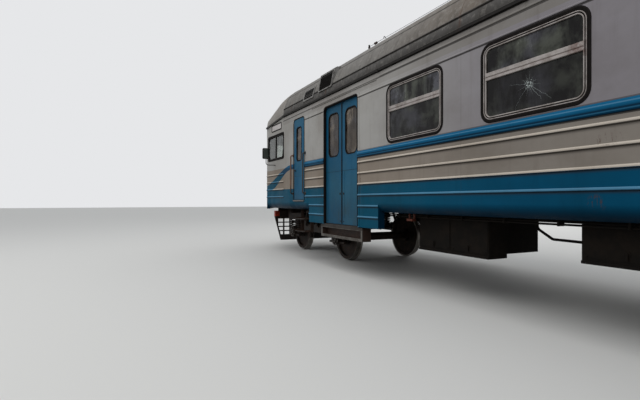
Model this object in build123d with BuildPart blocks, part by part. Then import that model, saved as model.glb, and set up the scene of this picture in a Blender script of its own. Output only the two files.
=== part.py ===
from build123d import *
import os
from math import atan2, cos, degrees, radians, sin, sqrt

os.makedirs("parts", exist_ok=True)

# Driving car of a suburban electric train, as one coach.
# X runs to the front, Y to the left side, Z up. Z is 0 at the wheel flanges' lowest points,
# so the rail head lies one flange depth higher. All sizes are in millimetres.
flange_depth = 28
rail = flange_depth

# Body shell
body_length = 19600
body_width = 3480
wall_t = 80
sill_z = rail + 1095
sill_r = 150
cant_z = rail + 3100
gutter_z = rail + 3315
crown_z = rail + 4253
cove_r = 780
rear_x = -body_length / 2
tip_x = body_length / 2
nose_len = 1650
nose_x = tip_x - nose_len
half_w = body_width / 2
seat_gap = 0.3
clear = 6

# Cab dome and nose
dome_len = 1200
dome_x = nose_x - dome_len
nose_bottom = rail + 1070
waist_z = rail + 2120
brow_z = rail + 3700
brow_back = 536
cheek_back = 350
cheek_y = half_w - 610
front_y = half_w - 1100
# columns: distance ahead of the dome's seam, drop of the gutter line, drop of the crown
dome_stations = [
    (-50, 0, 0),
    (0, 0, 0),
    (dome_len / 2, 60, 25),
    (dome_len, 215, 140),
    (dome_len + 600, 400, 330),
    (dome_len + 1100, 560, 640),
    (dome_len + nose_len + 20, 770, 910),
]

# Couplers and cowcatcher
coupler_z = rail + 1040
coupler_reach = tip_x + 250
coupler_pin_x = tip_x - 900
notch_y = 440
notch_z = rail + 1212
catch_x = tip_x - 1100
catch_top = rail + 830
catch_bottom = rail + 170
catch_y = half_w - 420

# Floor and underframe
floor_z = rail + 1300
floor_t = 55
frame_top = floor_z - floor_t
sill_in = half_w - sill_r
side_sill_w = 110
centre_sill_y = 200
centre_sill_w = 80
centre_drop = 30
bearer_w = 90
pressing_t = 10

# Passenger doorways and their pockets
skin_t = 40
slot_t = 60
lining_t = 20
pocket_depth = skin_t + slot_t + lining_t
skirt_z = rail + 837
leaf_t = 40
leaf_z0 = rail + 850
leaf_z1 = cant_z - 10
leaf_overlap = 10
leaf_gap = 6
doorway_w = 1280
leaf_travel = doorway_w / 2 - 65
end_plate = 20
strip_w = 45
strip_out = 5
well_in = half_w - 420
well_t = 15
tread_z = rail + 840
step_z = rail + 590
step_w = doorway_w + 260
step_box_depth = 120
angle_w = 50

# columns: name, doorway centre, rear pocket length, front pocket length
doorways = [
    ("front", nose_x - 4030, doorway_w / 2 - 30, doorway_w / 2 + 50),
    ("rear", rear_x + 1440, doorway_w / 2 - 20, doorway_w / 2 - 20),
]

# Side windows
window_w = 1230
window_h = 885
window_r = 140
window_z = rail + 2577
window_pitch = 1840
first_window_x = doorways[0][1] - 2085
window_count = int((first_window_x - doorways[1][1] - doorway_w) // window_pitch) + 1
rubber_w = 38
frame_w = 34
frame_depth = 50
transom_z = rail + 2650
transom_h = 75
glass_t = 8
cab_window_x = nose_x - 670
cab_window_w = 1160
cab_window_h = 650
cab_window_z = rail + 2625

# Ribs and mouldings on the sides
rib_h = 36
rib_out = 12
belt_z = rail + 2060
belt_h = 113
belt_out = 22
# columns: height, how far it stands out, half its height
rib_rows = [(rail + z, rib_out, rib_h / 2) for z in (1378, 1562, 1746, 1930)]
skirt_rows = [(rail + z, rib_out, rib_h / 2) for z in (1010, 1194)]
belt_rows = [(belt_z, belt_out, belt_h / 2), (rail + 3040, 8, 12)]

# Cab doors
cab_door_x0 = nose_x - 2440
cab_door_x1 = cab_door_x0 + 560
cab_door_z0 = rail + 1305
cab_door_t = 40
hinge_r = 14
pin_r = 6
pin_clear = 0.08
hinge_levels = [rail + 1600, rail + 2800]
knuckle_h = 80

# Bogies and wheelsets
bogie_x = tip_x - 3150
wheelbase = 2400
wheel_r = 475
flange_r = wheel_r + flange_depth
axle_z = rail + wheel_r
back_to_back = 1440
wheel_w = 130
axle_r = 82
journal_r = 65
journal_clear = 0.06
journal_y = 1018
journal_len = 190
end_float = 5
beam_w = 150
beam_z0 = rail + 790
beam_z1 = rail + 960
dip_z0 = rail + 530
dip_z1 = rail + 712
frame_half = wheelbase / 2 + 360
transom_x = 480
transom_w = 140
wing_half = 330
wing_z = axle_z - 70
axle_spring_r = 72
axle_spring_x = 245
centre_plate_z = rail + 1040
bolster_half = 190
bolster_end_z = centre_plate_z - 65
body_spring_r = 85
shoe_gap = 10
shoe_t = 50

front_dc, front_rp, front_fp = doorways[0][1:]
rear_dc, rear_rp, rear_fp = doorways[1][1:]
front_open0 = front_dc - doorway_w / 2
front_open1 = front_dc + doorway_w / 2
rear_open0 = rear_dc - doorway_w / 2
rear_open1 = rear_dc + doorway_w / 2


def block(x0, x1, y0, y1, z0, z1, mode=Mode.ADD):
    """A plain block between two corners."""
    with Locations(((x0 + x1) / 2, (y0 + y1) / 2, (z0 + z1) / 2)):
        Box(x1 - x0, y1 - y0, z1 - z0, mode=mode)


def wall_plane(y):
    """Sketch plane on the side of the coach, X along the coach and Z up."""
    return Plane(origin=(0, y, 0), x_dir=(1, 0, 0), z_dir=(0, -1, 0))


def roof_outline(inset, foot, gutter_drop=0, crown_drop=0):
    """Cross-section of the roof, a crown between two coves, cut level at its foot."""
    side = half_w - inset
    gutter = gutter_z - gutter_drop
    rise = crown_z - crown_drop - gutter
    crown_r = ((half_w - cove_r) ** 2 + rise ** 2 - cove_r ** 2) / (2 * (rise - cove_r))
    angle = degrees(atan2(crown_r - rise, half_w - cove_r))
    with BuildSketch() as outline:
        with BuildLine():
            Line((-side, foot), (side, foot))
            Line((side, foot), (side, gutter))
            CenterArc((half_w - cove_r, gutter), cove_r - inset, 0, angle)
            CenterArc((0, gutter + rise - crown_r), crown_r - inset, angle, 180 - 2 * angle)
            CenterArc((cove_r - half_w, gutter), cove_r - inset, 180 - angle, angle)
            Line((-side, gutter), (-side, foot))
        make_face()
    return outline.sketch


def rib_bars(x0, x1, rows):
    """Half-round ribs along a stretch of the left side, rooted in its sheet."""
    with BuildPart() as bars:
        with BuildSketch(Plane.YZ.offset(x0)):
            for z, out, half in rows:
                with Locations((half_w, z)):
                    Ellipse(out, half)
        extrude(amount=x1 - x0)
    return bars.part


def channel(centre, width, height, sheet, opening):
    """Pressed channel section about a centre, open towards one side."""
    with BuildSketch() as section:
        with Locations(centre):
            Rectangle(width, height)
        with Locations((centre[0] + opening * sheet / 2, centre[1])):
            Rectangle(width - sheet, height - 2 * sheet, mode=Mode.SUBTRACT)
    return section.sketch


def window_points():
    """Centres of the saloon windows along the side."""
    return [(first_window_x - i * window_pitch, window_z) for i in range(window_count)]


# Side walls: flat panels with the windows, turned-in sills, and the pockets of the doors.
# columns: wall start, wall end
panels = [
    (cab_door_x1, nose_x),
    (cab_door_x0, cab_door_x1),
    (front_open1 + front_fp, cab_door_x0),
    (rear_open1 + rear_fp, front_open0 - front_rp),
    (rear_x, rear_open0 - rear_rp),
]
# columns: start, end, rows of ribs
rib_zones = [
    (rear_x, rear_open0, rib_rows + belt_rows),
    (rear_open1, front_open0, rib_rows + belt_rows),
    (front_open1, cab_door_x0 - 43, rib_rows + belt_rows),
    (dome_x - 24, nose_x, rib_rows),
]
# columns: pocket start, pocket end, its closed end's plate, its edge strip
pockets = []
for name, dc, rp, fp in doorways:
    low = dc - doorway_w / 2
    high = dc + doorway_w / 2
    pockets.append((low - rp, low, low - rp, low - strip_w))
    pockets.append((high, high + fp, high + fp - end_plate, high))

pivot_x = cab_door_x0 + 22
pivot_y = half_w - cab_door_t - 20
wall_solids = []
for start, end in panels:
    with BuildPart() as panel:
        block(start, end, half_w - wall_t, half_w, sill_z + sill_r, cant_z)
        for zone0, zone1, rows in rib_zones:
            if min(end, zone1) > max(start, zone0):
                add(rib_bars(max(start, zone0), min(end, zone1), rows))
        with BuildSketch(wall_plane(half_w + 40)):
            with Locations(*window_points()):
                RectangleRounded(window_w, window_h, window_r)
            with Locations((cab_window_x, cab_window_z)):
                RectangleRounded(cab_window_w, cab_window_h, 60)
            with Locations(((cab_door_x0 + cab_door_x1) / 2, (cab_door_z0 + cant_z) / 2)):
                Rectangle(cab_door_x1 - cab_door_x0, cant_z - cab_door_z0)
        extrude(amount=wall_t + 80, mode=Mode.SUBTRACT)
        if end == cab_door_x0:
            # hinge brackets of the cab door, on its rear jamb
            for z in hinge_levels:
                for side in (-1, 1):
                    z0 = z + side * (knuckle_h / 2 + 7)
                    block(cab_door_x0 - 1, pivot_x, pivot_y - 12, pivot_y + 12, z0 - 5, z0 + 5)
                    with Locations((pivot_x, pivot_y, z0)):
                        Cylinder(12, 10)
                with Locations((pivot_x, pivot_y, z)):
                    Cylinder(pin_r, knuckle_h + 20)
    wall_solids.append(panel.part)
    with BuildPart() as turned_sill:
        with BuildSketch(Plane.YZ.offset(start)):
            with BuildLine():
                Line((half_w - wall_t, sill_z + sill_r), (half_w, sill_z + sill_r))
                CenterArc((sill_in, sill_z + sill_r), sill_r, 0, -90)
                Line((sill_in, sill_z), (sill_in, sill_z + wall_t))
                CenterArc((sill_in, sill_z + sill_r), sill_r - wall_t, -90, 90)
            make_face()
        extrude(amount=end - start)
    wall_solids.append(turned_sill.part)

for pocket0, pocket1, plate_x, strip_x in pockets:
    with BuildPart() as pocket_skin:
        block(pocket0, pocket1, half_w - skin_t, half_w, skirt_z, cant_z)
        add(rib_bars(pocket0, pocket1, rib_rows + belt_rows + skirt_rows))
        block(strip_x, strip_x + strip_w, half_w - 1, half_w + strip_out, skirt_z, cant_z)
    wall_solids.append(pocket_skin.part)
    with BuildPart() as pocket_lining:
        block(pocket0, pocket1, half_w - pocket_depth, half_w - skin_t - slot_t, skirt_z, cant_z)
    wall_solids.append(pocket_lining.part)
    with BuildPart() as pocket_end:
        block(plate_x, plate_x + end_plate, half_w - skin_t - slot_t, half_w - skin_t, skirt_z, cant_z)
    wall_solids.append(pocket_end.part)

mirrored_solids = []
for solid in wall_solids:
    with BuildPart() as other_side:
        mirror(solid, about=Plane.XZ)
    mirrored_solids.append(other_side.part)

left_wall = Compound(label="left_wall", children=[s.solids()[0] for s in wall_solids])
export_step(left_wall, "parts/left_wall.step")
right_wall = Compound(label="right_wall", children=[s.solids()[0] for s in mirrored_solids])
export_step(right_wall, "parts/right_wall.step")

# Roof shell with the gutters, a seam on each cove, mouldings and the drip strips over the doors
gutter_h = 40
gutter_out = 28
seam_angle = radians(13)
seam_y = half_w - cove_r + cove_r * cos(seam_angle)
seam_z = gutter_z + cove_r * sin(seam_angle)
drip_half = doorway_w / 2 + 560
with BuildPart() as roof:
    with BuildSketch(Plane.YZ.offset(rear_x)):
        add(roof_outline(0, cant_z))
        for side in (-1, 1):
            with Locations((side * half_w, gutter_z)):
                Rectangle(2 * gutter_out, gutter_h)
            with Locations((side * seam_y, seam_z)):
                Circle(14)
        add(roof_outline(wall_t, cant_z - 1), mode=Mode.SUBTRACT)
    extrude(amount=dome_x - rear_x)
    with BuildSketch(Plane.YZ.offset(rear_dc + drip_half + 90)):
        with Locations((half_w, rail + 3222), (-half_w, rail + 3222)):
            Ellipse(8, 12)
    extrude(amount=front_dc - rear_dc - 2 * drip_half - 180)
    for dc in (rear_dc, front_dc):
        with BuildSketch(Plane.YZ.offset(dc - drip_half)):
            with Locations((half_w, rail + 3185), (-half_w, rail + 3185)):
                Ellipse(14, 10)
        extrude(amount=2 * drip_half)
    # end caps where the gutter's lengths meet
    for x in (front_dc - drip_half - 60, front_dc - drip_half - 2700, rear_dc + drip_half + 900):
        for side in (-1, 1):
            y0, y1 = sorted((side * (half_w - 2), side * (half_w + gutter_out + 6)))
            block(x - 20, x + 20, y0, y1, gutter_z - gutter_h / 2 - 8, gutter_z + gutter_h / 2 + 8)
roof.part.label = "roof"
export_step(roof.part, "parts/roof.step")


def plan_outline(side_x, side_y, front_x, front_half, inset):
    """Plan of the nose: two cheeks, two corners and a flat front."""
    back = dome_x - 100
    wide = half_w + (half_w - cheek_y) * (nose_x - back) / (tip_x - cheek_back - nose_x)
    with BuildSketch() as outline:
        with BuildLine():
            Polyline((back, -wide), (back, wide), (side_x, side_y), (front_x, front_half),
                     (front_x, -front_half), (side_x, -side_y), close=True)
        make_face()
        if inset > 0:
            offset(amount=-inset, kind=Kind.INTERSECTION, mode=Mode.REPLACE)
    return outline.sketch


def nose_form(inset, bottom):
    """The cab's nose and dome with every face moved inwards by the inset."""
    cheek_x = tip_x - cheek_back
    high_x = cheek_x - 450
    high_y = half_w - (half_w - cheek_y) * (high_x - nose_x) / (cheek_x - nose_x)
    with BuildPart() as plan_form:
        with BuildSketch(Plane.XY.offset(bottom)):
            add(plan_outline(cheek_x, cheek_y, tip_x, front_y, inset))
        extrude(amount=waist_z - bottom)
        with BuildSketch(Plane.XY.offset(waist_z)):
            add(plan_outline(cheek_x, cheek_y, tip_x, front_y, inset))
        with BuildSketch(Plane.XY.offset(brow_z)):
            add(plan_outline(high_x, high_y, tip_x - brow_back, front_y - 40, inset))
        loft(ruled=True)
    with BuildPart() as form:
        for ahead, gutter_drop, crown_drop in dome_stations:
            with BuildSketch(Plane.YZ.offset(dome_x + ahead)):
                add(roof_outline(inset, bottom, gutter_drop, crown_drop))
        loft()
        add(plan_form.part, mode=Mode.INTERSECT)
    return form.part


# columns: pane centre y, width, height, corner radius
screen_z = rail + 2640
panes = [
    (front_y / 2 + 10, front_y - 100, 760, 60),
    (-front_y / 2 - 10, front_y - 100, 760, 60),
    (front_y + 250, 270, 640, 50),
    (-front_y - 250, 270, 640, 50),
]
with BuildPart() as cab_nose:
    add(nose_form(0, nose_bottom))
    add(nose_form(wall_t, nose_bottom - 1), mode=Mode.SUBTRACT)
    block(dome_x - 200, dome_x, -half_w - 50, half_w + 50, nose_bottom - 50, crown_z + 50, mode=Mode.SUBTRACT)
    block(dome_x - 200, nose_x, -half_w - 50, half_w + 50, nose_bottom - 50, cant_z, mode=Mode.SUBTRACT)
    for y, w, h, r in panes:
        with BuildSketch(Plane.YZ.offset(tip_x - 800)):
            with Locations((y, screen_z)):
                RectangleRounded(w, h, r)
        extrude(amount=1000, mode=Mode.SUBTRACT)
    block(tip_x - 300, tip_x + 10, -notch_y, notch_y, nose_bottom - 10, notch_z, mode=Mode.SUBTRACT)
    # the gutter runs on along the dome, falling a little to the front
    for side in (-1, 1):
        with BuildSketch(wall_plane(side * half_w + gutter_out)):
            with BuildLine():
                Polyline((dome_x, gutter_z - 20), (dome_x, gutter_z + 20), (nose_x, gutter_z - 90),
                         (nose_x, gutter_z - 130), close=True)
            make_face()
        extrude(amount=2 * gutter_out)
cab_nose.part.label = "cab_nose"
export_step(cab_nose.part, "parts/cab_nose.step")

# Rear end wall with the gangway doorway, ribs and a notch over the coupler
gang_w = 760
gang_z1 = rail + 3280
end_t = 80
gang_pivot_y = gang_w / 2 - 22
gang_pivot_x = rear_x - end_t + 40 + 20
with BuildPart() as end_ribs:
    with BuildSketch(Plane.XZ.offset(gang_w / 2 + 270)):
        with Locations(*[(rear_x - end_t, z) for z, out, half in rib_rows]):
            Ellipse(rib_out, rib_h / 2)
        with Locations((rear_x - end_t, belt_z)):
            Ellipse(rib_out, belt_h / 3)
    extrude(amount=half_w - gang_w / 2 - 270 - sill_r)
    mirror(about=Plane.XZ)
with BuildPart() as rear_end_wall:
    with BuildSketch(Plane.YZ.offset(rear_x - end_t)):
        add(roof_outline(0, sill_z))
        with Locations((0, (floor_z + gang_z1) / 2)):
            Rectangle(gang_w, gang_z1 - floor_z, mode=Mode.SUBTRACT)
        with Locations((0, notch_z - 200)):
            Rectangle(2 * notch_y, 400, mode=Mode.SUBTRACT)
    extrude(amount=end_t)
    add(end_ribs.part)
    for z in hinge_levels:
        for side in (-1, 1):
            z0 = z + side * (knuckle_h / 2 + 7)
            block(gang_pivot_x - 12, gang_pivot_x + 12, gang_pivot_y, gang_w / 2 + 1,
                  z0 - 5, z0 + 5)
            with Locations((gang_pivot_x, gang_pivot_y, z0)):
                Cylinder(12, 10)
        with Locations((gang_pivot_x, gang_pivot_y, z)):
            Cylinder(pin_r, knuckle_h + 20)
rear_end_wall.part.label = "rear_end_wall"
export_step(rear_end_wall.part, "parts/rear_end_wall.step")

# Gangway: folds round the doorway, closed by a flat face frame
gang_depth = 150
fold_t = 20
gang_mid = (floor_z + gang_z1) / 2
with BuildPart() as gangway:
    with BuildSketch(Plane.YZ.offset(rear_x - end_t - gang_depth)):
        with Locations((0, gang_mid + 45)):
            RectangleRounded(gang_w + 420, gang_z1 - floor_z + 210, 120)
        with Locations((0, gang_mid)):
            Rectangle(gang_w, gang_z1 - floor_z, mode=Mode.SUBTRACT)
    extrude(amount=30)
    for i in range(6):
        swell = 330 if i % 2 else 250
        with BuildSketch(Plane.YZ.offset(rear_x - end_t - gang_depth + 30 + i * fold_t)):
            with Locations((0, gang_mid + 35)):
                RectangleRounded(gang_w + swell, gang_z1 - floor_z + swell / 2 + 10, 100)
            with Locations((0, gang_mid)):
                Rectangle(gang_w, gang_z1 - floor_z, mode=Mode.SUBTRACT)
        extrude(amount=fold_t)
gangway.part.label = "gangway"
export_step(gangway.part, "parts/gangway.step")

# Gangway door, hung on its left edge and opening into the vestibule
with BuildPart() as gangway_door:
    block(rear_x - end_t, rear_x - end_t + 40, -gang_w / 2 + 10, gang_w / 2 - clear,
          floor_z + clear, gang_z1 - clear)
    block(rear_x - end_t - 1, rear_x - end_t + 41, -200, 200, rail + 2150, rail + 2850,
          mode=Mode.SUBTRACT)
    for z in hinge_levels:
        block(rear_x - end_t + 39, gang_pivot_x, gang_pivot_y - 12, gang_pivot_y + 12,
              z - knuckle_h / 2, z + knuckle_h / 2)
        with Locations((gang_pivot_x, gang_pivot_y, z)):
            Cylinder(hinge_r, knuckle_h)
        with Locations((gang_pivot_x, gang_pivot_y, z)):
            Cylinder(pin_r + pin_clear, knuckle_h + 2, mode=Mode.SUBTRACT)
gangway_door.part.label = "gangway_door"
export_step(gangway_door.part, "parts/gangway_door.step")

with BuildPart() as gangway_door_glass:
    block(rear_x - end_t + 16, rear_x - end_t + 24, -200, 200, rail + 2150, rail + 2850)
gangway_door_glass.part.label = "gangway_door_glass"
export_step(gangway_door_glass.part, "parts/gangway_door_glass.step")

# Floor, notched at the step wells and door pockets, with a tongue that fills the nose
floor_half = half_w - wall_t
with BuildPart() as nose_floor:
    add(nose_form(wall_t + seat_gap, nose_bottom - 1))
    block(nose_x - 5, tip_x, -half_w, half_w, frame_top, floor_z, mode=Mode.INTERSECT)
with BuildPart() as floor:
    block(rear_x, nose_x, -floor_half, floor_half, frame_top, floor_z)
    for name, dc, rp, fp in doorways:
        for side in (-1, 1):
            y0, y1 = sorted((side * (half_w - pocket_depth), side * half_w))
            block(dc - doorway_w / 2 - rp, dc + doorway_w / 2 + fp, y0, y1,
                  frame_top - 5, floor_z + 5, mode=Mode.SUBTRACT)
            y0, y1 = sorted((side * well_in, side * half_w))
            block(dc - doorway_w / 2 - well_t, dc + doorway_w / 2 + well_t, y0, y1,
                  frame_top - 5, floor_z + 5, mode=Mode.SUBTRACT)
    add(nose_floor.part)
floor.part.label = "floor"
export_step(floor.part, "parts/floor.step")

# Underframe: pressed side sills and centre sills, cross bearers between them, two body bolsters
# with their centre pivots, and the draft pockets that hold the coupler pins
frame_solids = []
sill_mid = (sill_z + frame_top) / 2
bay_start = -bogie_x + 700
bay_end = front_open0 - well_t - 60
bay_count = round((bay_end - bay_start) / 1300)
bearers = [bay_start + i * (bay_end - bay_start) / bay_count for i in range(bay_count + 1)]
bearers += [front_open1 + well_t + 60, nose_x - 100]
front_bearer = catch_x - 250
# columns: start, end of each length of side sill
sill_runs = [
    (rear_x, rear_open0 - well_t),
    (rear_open1 + well_t, front_open0 - well_t),
    (front_open1 + well_t, nose_x),
]
for side in (-1, 1):
    for start, end in sill_runs:
        with BuildPart() as side_sill:
            with BuildSketch(Plane.YZ.offset(start)):
                add(channel((side * (sill_in - side_sill_w / 2), sill_mid), side_sill_w,
                            frame_top - sill_z, pressing_t, -side))
            extrude(amount=end - start)
        frame_solids.append(side_sill.part)
    with BuildPart() as centre_sill:
        with BuildSketch(Plane.YZ.offset(rear_x + 200)):
            add(channel((side * (centre_sill_y + centre_sill_w / 2), sill_mid - centre_drop / 2),
                        centre_sill_w, frame_top - sill_z + centre_drop, pressing_t, side))
        extrude(amount=coupler_pin_x + 150 - rear_x)
    frame_solids.append(centre_sill.part)

outer0 = centre_sill_y + centre_sill_w
outer1 = sill_in - side_sill_w
# columns: bearer centre, inner end, outer end, with a middle piece
bearer_rows = [(x, outer0, outer1, True) for x in bearers]
bearer_rows.append((rear_x + 60, notch_y, outer1, False))
bearer_rows.append((rear_open0 - well_t - 60, outer0, outer1, False))
bearer_rows.append((front_bearer, outer0, catch_y - 20, True))
for x, y0, y1, middle in bearer_rows:
    spans = [(y0, y1), (-y1, -y0)]
    if middle:
        spans.append((-centre_sill_y, centre_sill_y))
    for low, high in spans:
        with BuildPart() as bearer:
            with BuildSketch(wall_plane(high)):
                add(channel((x, sill_mid), bearer_w, frame_top - sill_z, pressing_t, 1))
            extrude(amount=high - low)
        frame_solids.append(bearer.part)

for x in (-bogie_x, bogie_x):
    for low, high, drop in ((outer0, outer1, 20), (-outer1, -outer0, 20),
                            (-centre_sill_y, centre_sill_y, centre_drop)):
        with BuildPart() as bolster_box:
            block(x - 260, x + 260, low, high, sill_z - drop, frame_top)
        frame_solids.append(bolster_box.part)
    plate_h = sill_z - centre_drop - centre_plate_z - seat_gap
    with BuildPart() as centre_plate:
        with Locations((x, 0, sill_z - centre_drop - plate_h / 2)):
            Cylinder(190, plate_h)
    frame_solids.append(centre_plate.part)
    with BuildPart() as centre_pin:
        with Locations((x, 0, centre_plate_z + seat_gap - 90)):
            Cylinder(60, 180)
    frame_solids.append(centre_pin.part)

for sign in (1, -1):
    with BuildPart() as draft_pocket:
        x0 = sign * coupler_pin_x - 150
        x1 = sign * coupler_pin_x + 150
        for z0, z1 in ((coupler_z + 70, coupler_z + 90), (coupler_z - 90, coupler_z - 70)):
            block(x0, x1, -centre_sill_y, centre_sill_y, z0, z1)
        for y in (-centre_sill_y + 11, centre_sill_y - 11):
            block(x0, x1, y - 11, y + 11, coupler_z - 90, coupler_z + 90)
        with Locations((sign * coupler_pin_x, 0, coupler_z)):
            Cylinder(45, 180)
    frame_solids.append(draft_pocket.part)
underframe = Compound(label="underframe", children=[s.solids()[0] for s in frame_solids])
export_step(underframe, "parts/underframe.step")

# Step wells and the step boxes under the doorways, and the hanging steps under the cab doors
with BuildPart() as door_steps:
    for name, dc, rp, fp in doorways:
        x0 = dc - doorway_w / 2
        x1 = dc + doorway_w / 2
        inner = half_w - pocket_depth
        # well: back plate, two side plates, lower and middle treads
        block(x0 - well_t, x1 + well_t, well_in, well_in + well_t, tread_z - 20, floor_z)
        for sx in (x0 - well_t, x1):
            block(sx, sx + well_t, well_in, inner, tread_z - 20, floor_z)
        block(x0, x1, well_in, half_w - 8, tread_z - 20, tread_z)
        block(x0, x1, well_in, well_in + 150, rail + 1055, rail + 1075)
        # guide rail for the leaves, running on into both pockets
        block(x0 - rp + end_plate, x1 + fp - end_plate, half_w - 76, half_w - 64,
              tread_z - 12, leaf_z0 - seat_gap)
        # box below, open to the outside between its angle frame
        block(dc - step_w / 2, dc + step_w / 2, half_w - step_box_depth - 60, half_w - 8,
              step_z, tread_z - 20)
        block(dc - step_w / 2 + angle_w, dc + step_w / 2 - angle_w, half_w - step_box_depth, half_w,
              step_z + angle_w, tread_z - 20 - angle_w, mode=Mode.SUBTRACT)
    # two hangers and two treads, hung from the side sill
    for x in (cab_door_x0 + 20, cab_door_x1 - 28):
        block(x, x + 8, sill_in - 90, sill_in - 10, rail + 600, sill_z)
        for z in (rail + 612, rail + 888):
            block(x, x + 8, sill_in - 90, half_w - 20, z - 12, z + 28)
    for z in (rail + 612, rail + 888):
        block(cab_door_x0 + 20, cab_door_x1 - 20, sill_in - 10, half_w - 12, z - 12, z)
    mirror(about=Plane.XZ)
door_steps.part.label = "door_steps"
export_step(door_steps.part, "parts/door_steps.step")

# Door leaves: two to a doorway, sliding apart into the pockets
leaf_win_w = doorway_w / 2 - 240
leaf_win_h = 810
leaf_win_z = rail + 2525
for name, dc, rp, fp in doorways:
    for side_name, side in (("left", 1), ("right", -1)):
        # columns: name, start, end
        spans = [
            ("rear_leaf", dc - doorway_w / 2 - leaf_overlap, dc - leaf_gap / 2),
            ("front_leaf", dc + leaf_gap / 2, dc + doorway_w / 2 + leaf_overlap),
        ]
        y = side * (half_w - skin_t - slot_t / 2)
        for leaf_name, x0, x1 in spans:
            node = f"{side_name}_{name}_door_{leaf_name}"
            with BuildPart() as door_leaf:
                block(x0, x1, y - leaf_t / 2, y + leaf_t / 2, leaf_z0, leaf_z1)
                with BuildSketch(wall_plane(y + leaf_t)):
                    with Locations(((x0 + x1) / 2, leaf_win_z)):
                        RectangleRounded(leaf_win_w, leaf_win_h, 110)
                extrude(amount=2 * leaf_t, mode=Mode.SUBTRACT)
                # shallow pressing in the lower half, both faces
                for face in (-1, 1):
                    y0, y1 = sorted((y + face * (leaf_t / 2 - 3), y + face * (leaf_t / 2 + 3)))
                    block(x0 + 90, x1 - 90, y0, y1, leaf_z0 + 110, rail + 1830, mode=Mode.SUBTRACT)
            door_leaf.part.label = node
            export_step(door_leaf.part, f"parts/{node}.step")
            with BuildPart() as door_glass:
                with BuildSketch(wall_plane(y + glass_t / 2)):
                    with Locations(((x0 + x1) / 2, leaf_win_z)):
                        RectangleRounded(leaf_win_w, leaf_win_h, 110)
                extrude(amount=glass_t)
            door_glass.part.label = node + "_glass"
            export_step(door_glass.part, f"parts/{node}_glass.step")

# Cab doors, hung at the rear edge and opening inwards
for side_name, side in (("left", 1), ("right", -1)):
    with BuildPart() as cab_door:
        block(cab_door_x0 + clear, cab_door_x1 - 10, side * (half_w - cab_door_t / 2) - cab_door_t / 2,
              side * (half_w - cab_door_t / 2) + cab_door_t / 2, cab_door_z0 + clear, cant_z - clear)
        with BuildSketch(wall_plane(side * half_w + 60)):
            with Locations(((cab_door_x0 + cab_door_x1) / 2, rail + 2540)):
                RectangleRounded(270, 740, 60)
        extrude(amount=120, mode=Mode.SUBTRACT)
        for z in hinge_levels:
            y0, y1 = sorted((side * pivot_y, side * (half_w - cab_door_t + 1)))
            block(pivot_x - 12, pivot_x + 12, y0, y1, z - knuckle_h / 2, z + knuckle_h / 2)
            with Locations((pivot_x, side * pivot_y, z)):
                Cylinder(hinge_r, knuckle_h)
            with Locations((pivot_x, side * pivot_y, z)):
                Cylinder(pin_r + pin_clear, knuckle_h + 2, mode=Mode.SUBTRACT)
    cab_door.part.label = f"{side_name}_cab_door"
    export_step(cab_door.part, f"parts/{side_name}_cab_door.step")
    with BuildPart() as cab_door_glass:
        with BuildSketch(wall_plane(side * (half_w - 20) + glass_t / 2)):
            with Locations(((cab_door_x0 + cab_door_x1) / 2, rail + 2540)):
                RectangleRounded(270, 740, 60)
        extrude(amount=glass_t)
    cab_door_glass.part.label = f"{side_name}_cab_door_glass"
    export_step(cab_door_glass.part, f"parts/{side_name}_cab_door_glass.step")

# Window rubbers, metal frames and glass
with BuildPart() as window_rubbers:
    with BuildSketch(wall_plane(half_w + 6)):
        with Locations(*window_points()):
            RectangleRounded(window_w, window_h, window_r)
            RectangleRounded(window_w - 2 * rubber_w, window_h - 2 * rubber_w, window_r - rubber_w,
                             mode=Mode.SUBTRACT)
        with Locations((cab_window_x, cab_window_z)):
            RectangleRounded(cab_window_w, cab_window_h, 60)
            RectangleRounded(cab_window_w - 2 * rubber_w, cab_window_h - 2 * rubber_w, 22,
                             mode=Mode.SUBTRACT)
    extrude(amount=frame_depth)
    mirror(about=Plane.XZ)
window_rubbers.part.label = "window_rubbers"
export_step(window_rubbers.part, "parts/window_rubbers.step")

pane_w = window_w - 2 * rubber_w - 2 * frame_w
pane_h = window_h - 2 * rubber_w - 2 * frame_w
vent_rail_z = window_z + pane_h / 2 - 52
with BuildPart() as window_frames:
    with BuildSketch(wall_plane(half_w - 2)):
        with Locations(*window_points()):
            RectangleRounded(window_w - 2 * rubber_w, window_h - 2 * rubber_w, window_r - rubber_w)
            RectangleRounded(pane_w, pane_h, window_r - rubber_w - frame_w, mode=Mode.SUBTRACT)
        with Locations(*[(x, transom_z) for x, z in window_points()]):
            Rectangle(pane_w + frame_w, transom_h)
        with Locations(*[(x, vent_rail_z) for x, z in window_points()]):
            Rectangle(pane_w + frame_w, 14)
        with Locations((cab_window_x, cab_window_z)):
            RectangleRounded(cab_window_w - 2 * rubber_w, cab_window_h - 2 * rubber_w, 22)
            Rectangle(cab_window_w - 2 * rubber_w - 50, cab_window_h - 2 * rubber_w - 50,
                      mode=Mode.SUBTRACT)
            Rectangle(40, cab_window_h - 2 * rubber_w - 20)
    extrude(amount=frame_depth - 16)
    mirror(about=Plane.XZ)
window_frames.part.label = "window_frames"
export_step(window_frames.part, "parts/window_frames.step")

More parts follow.
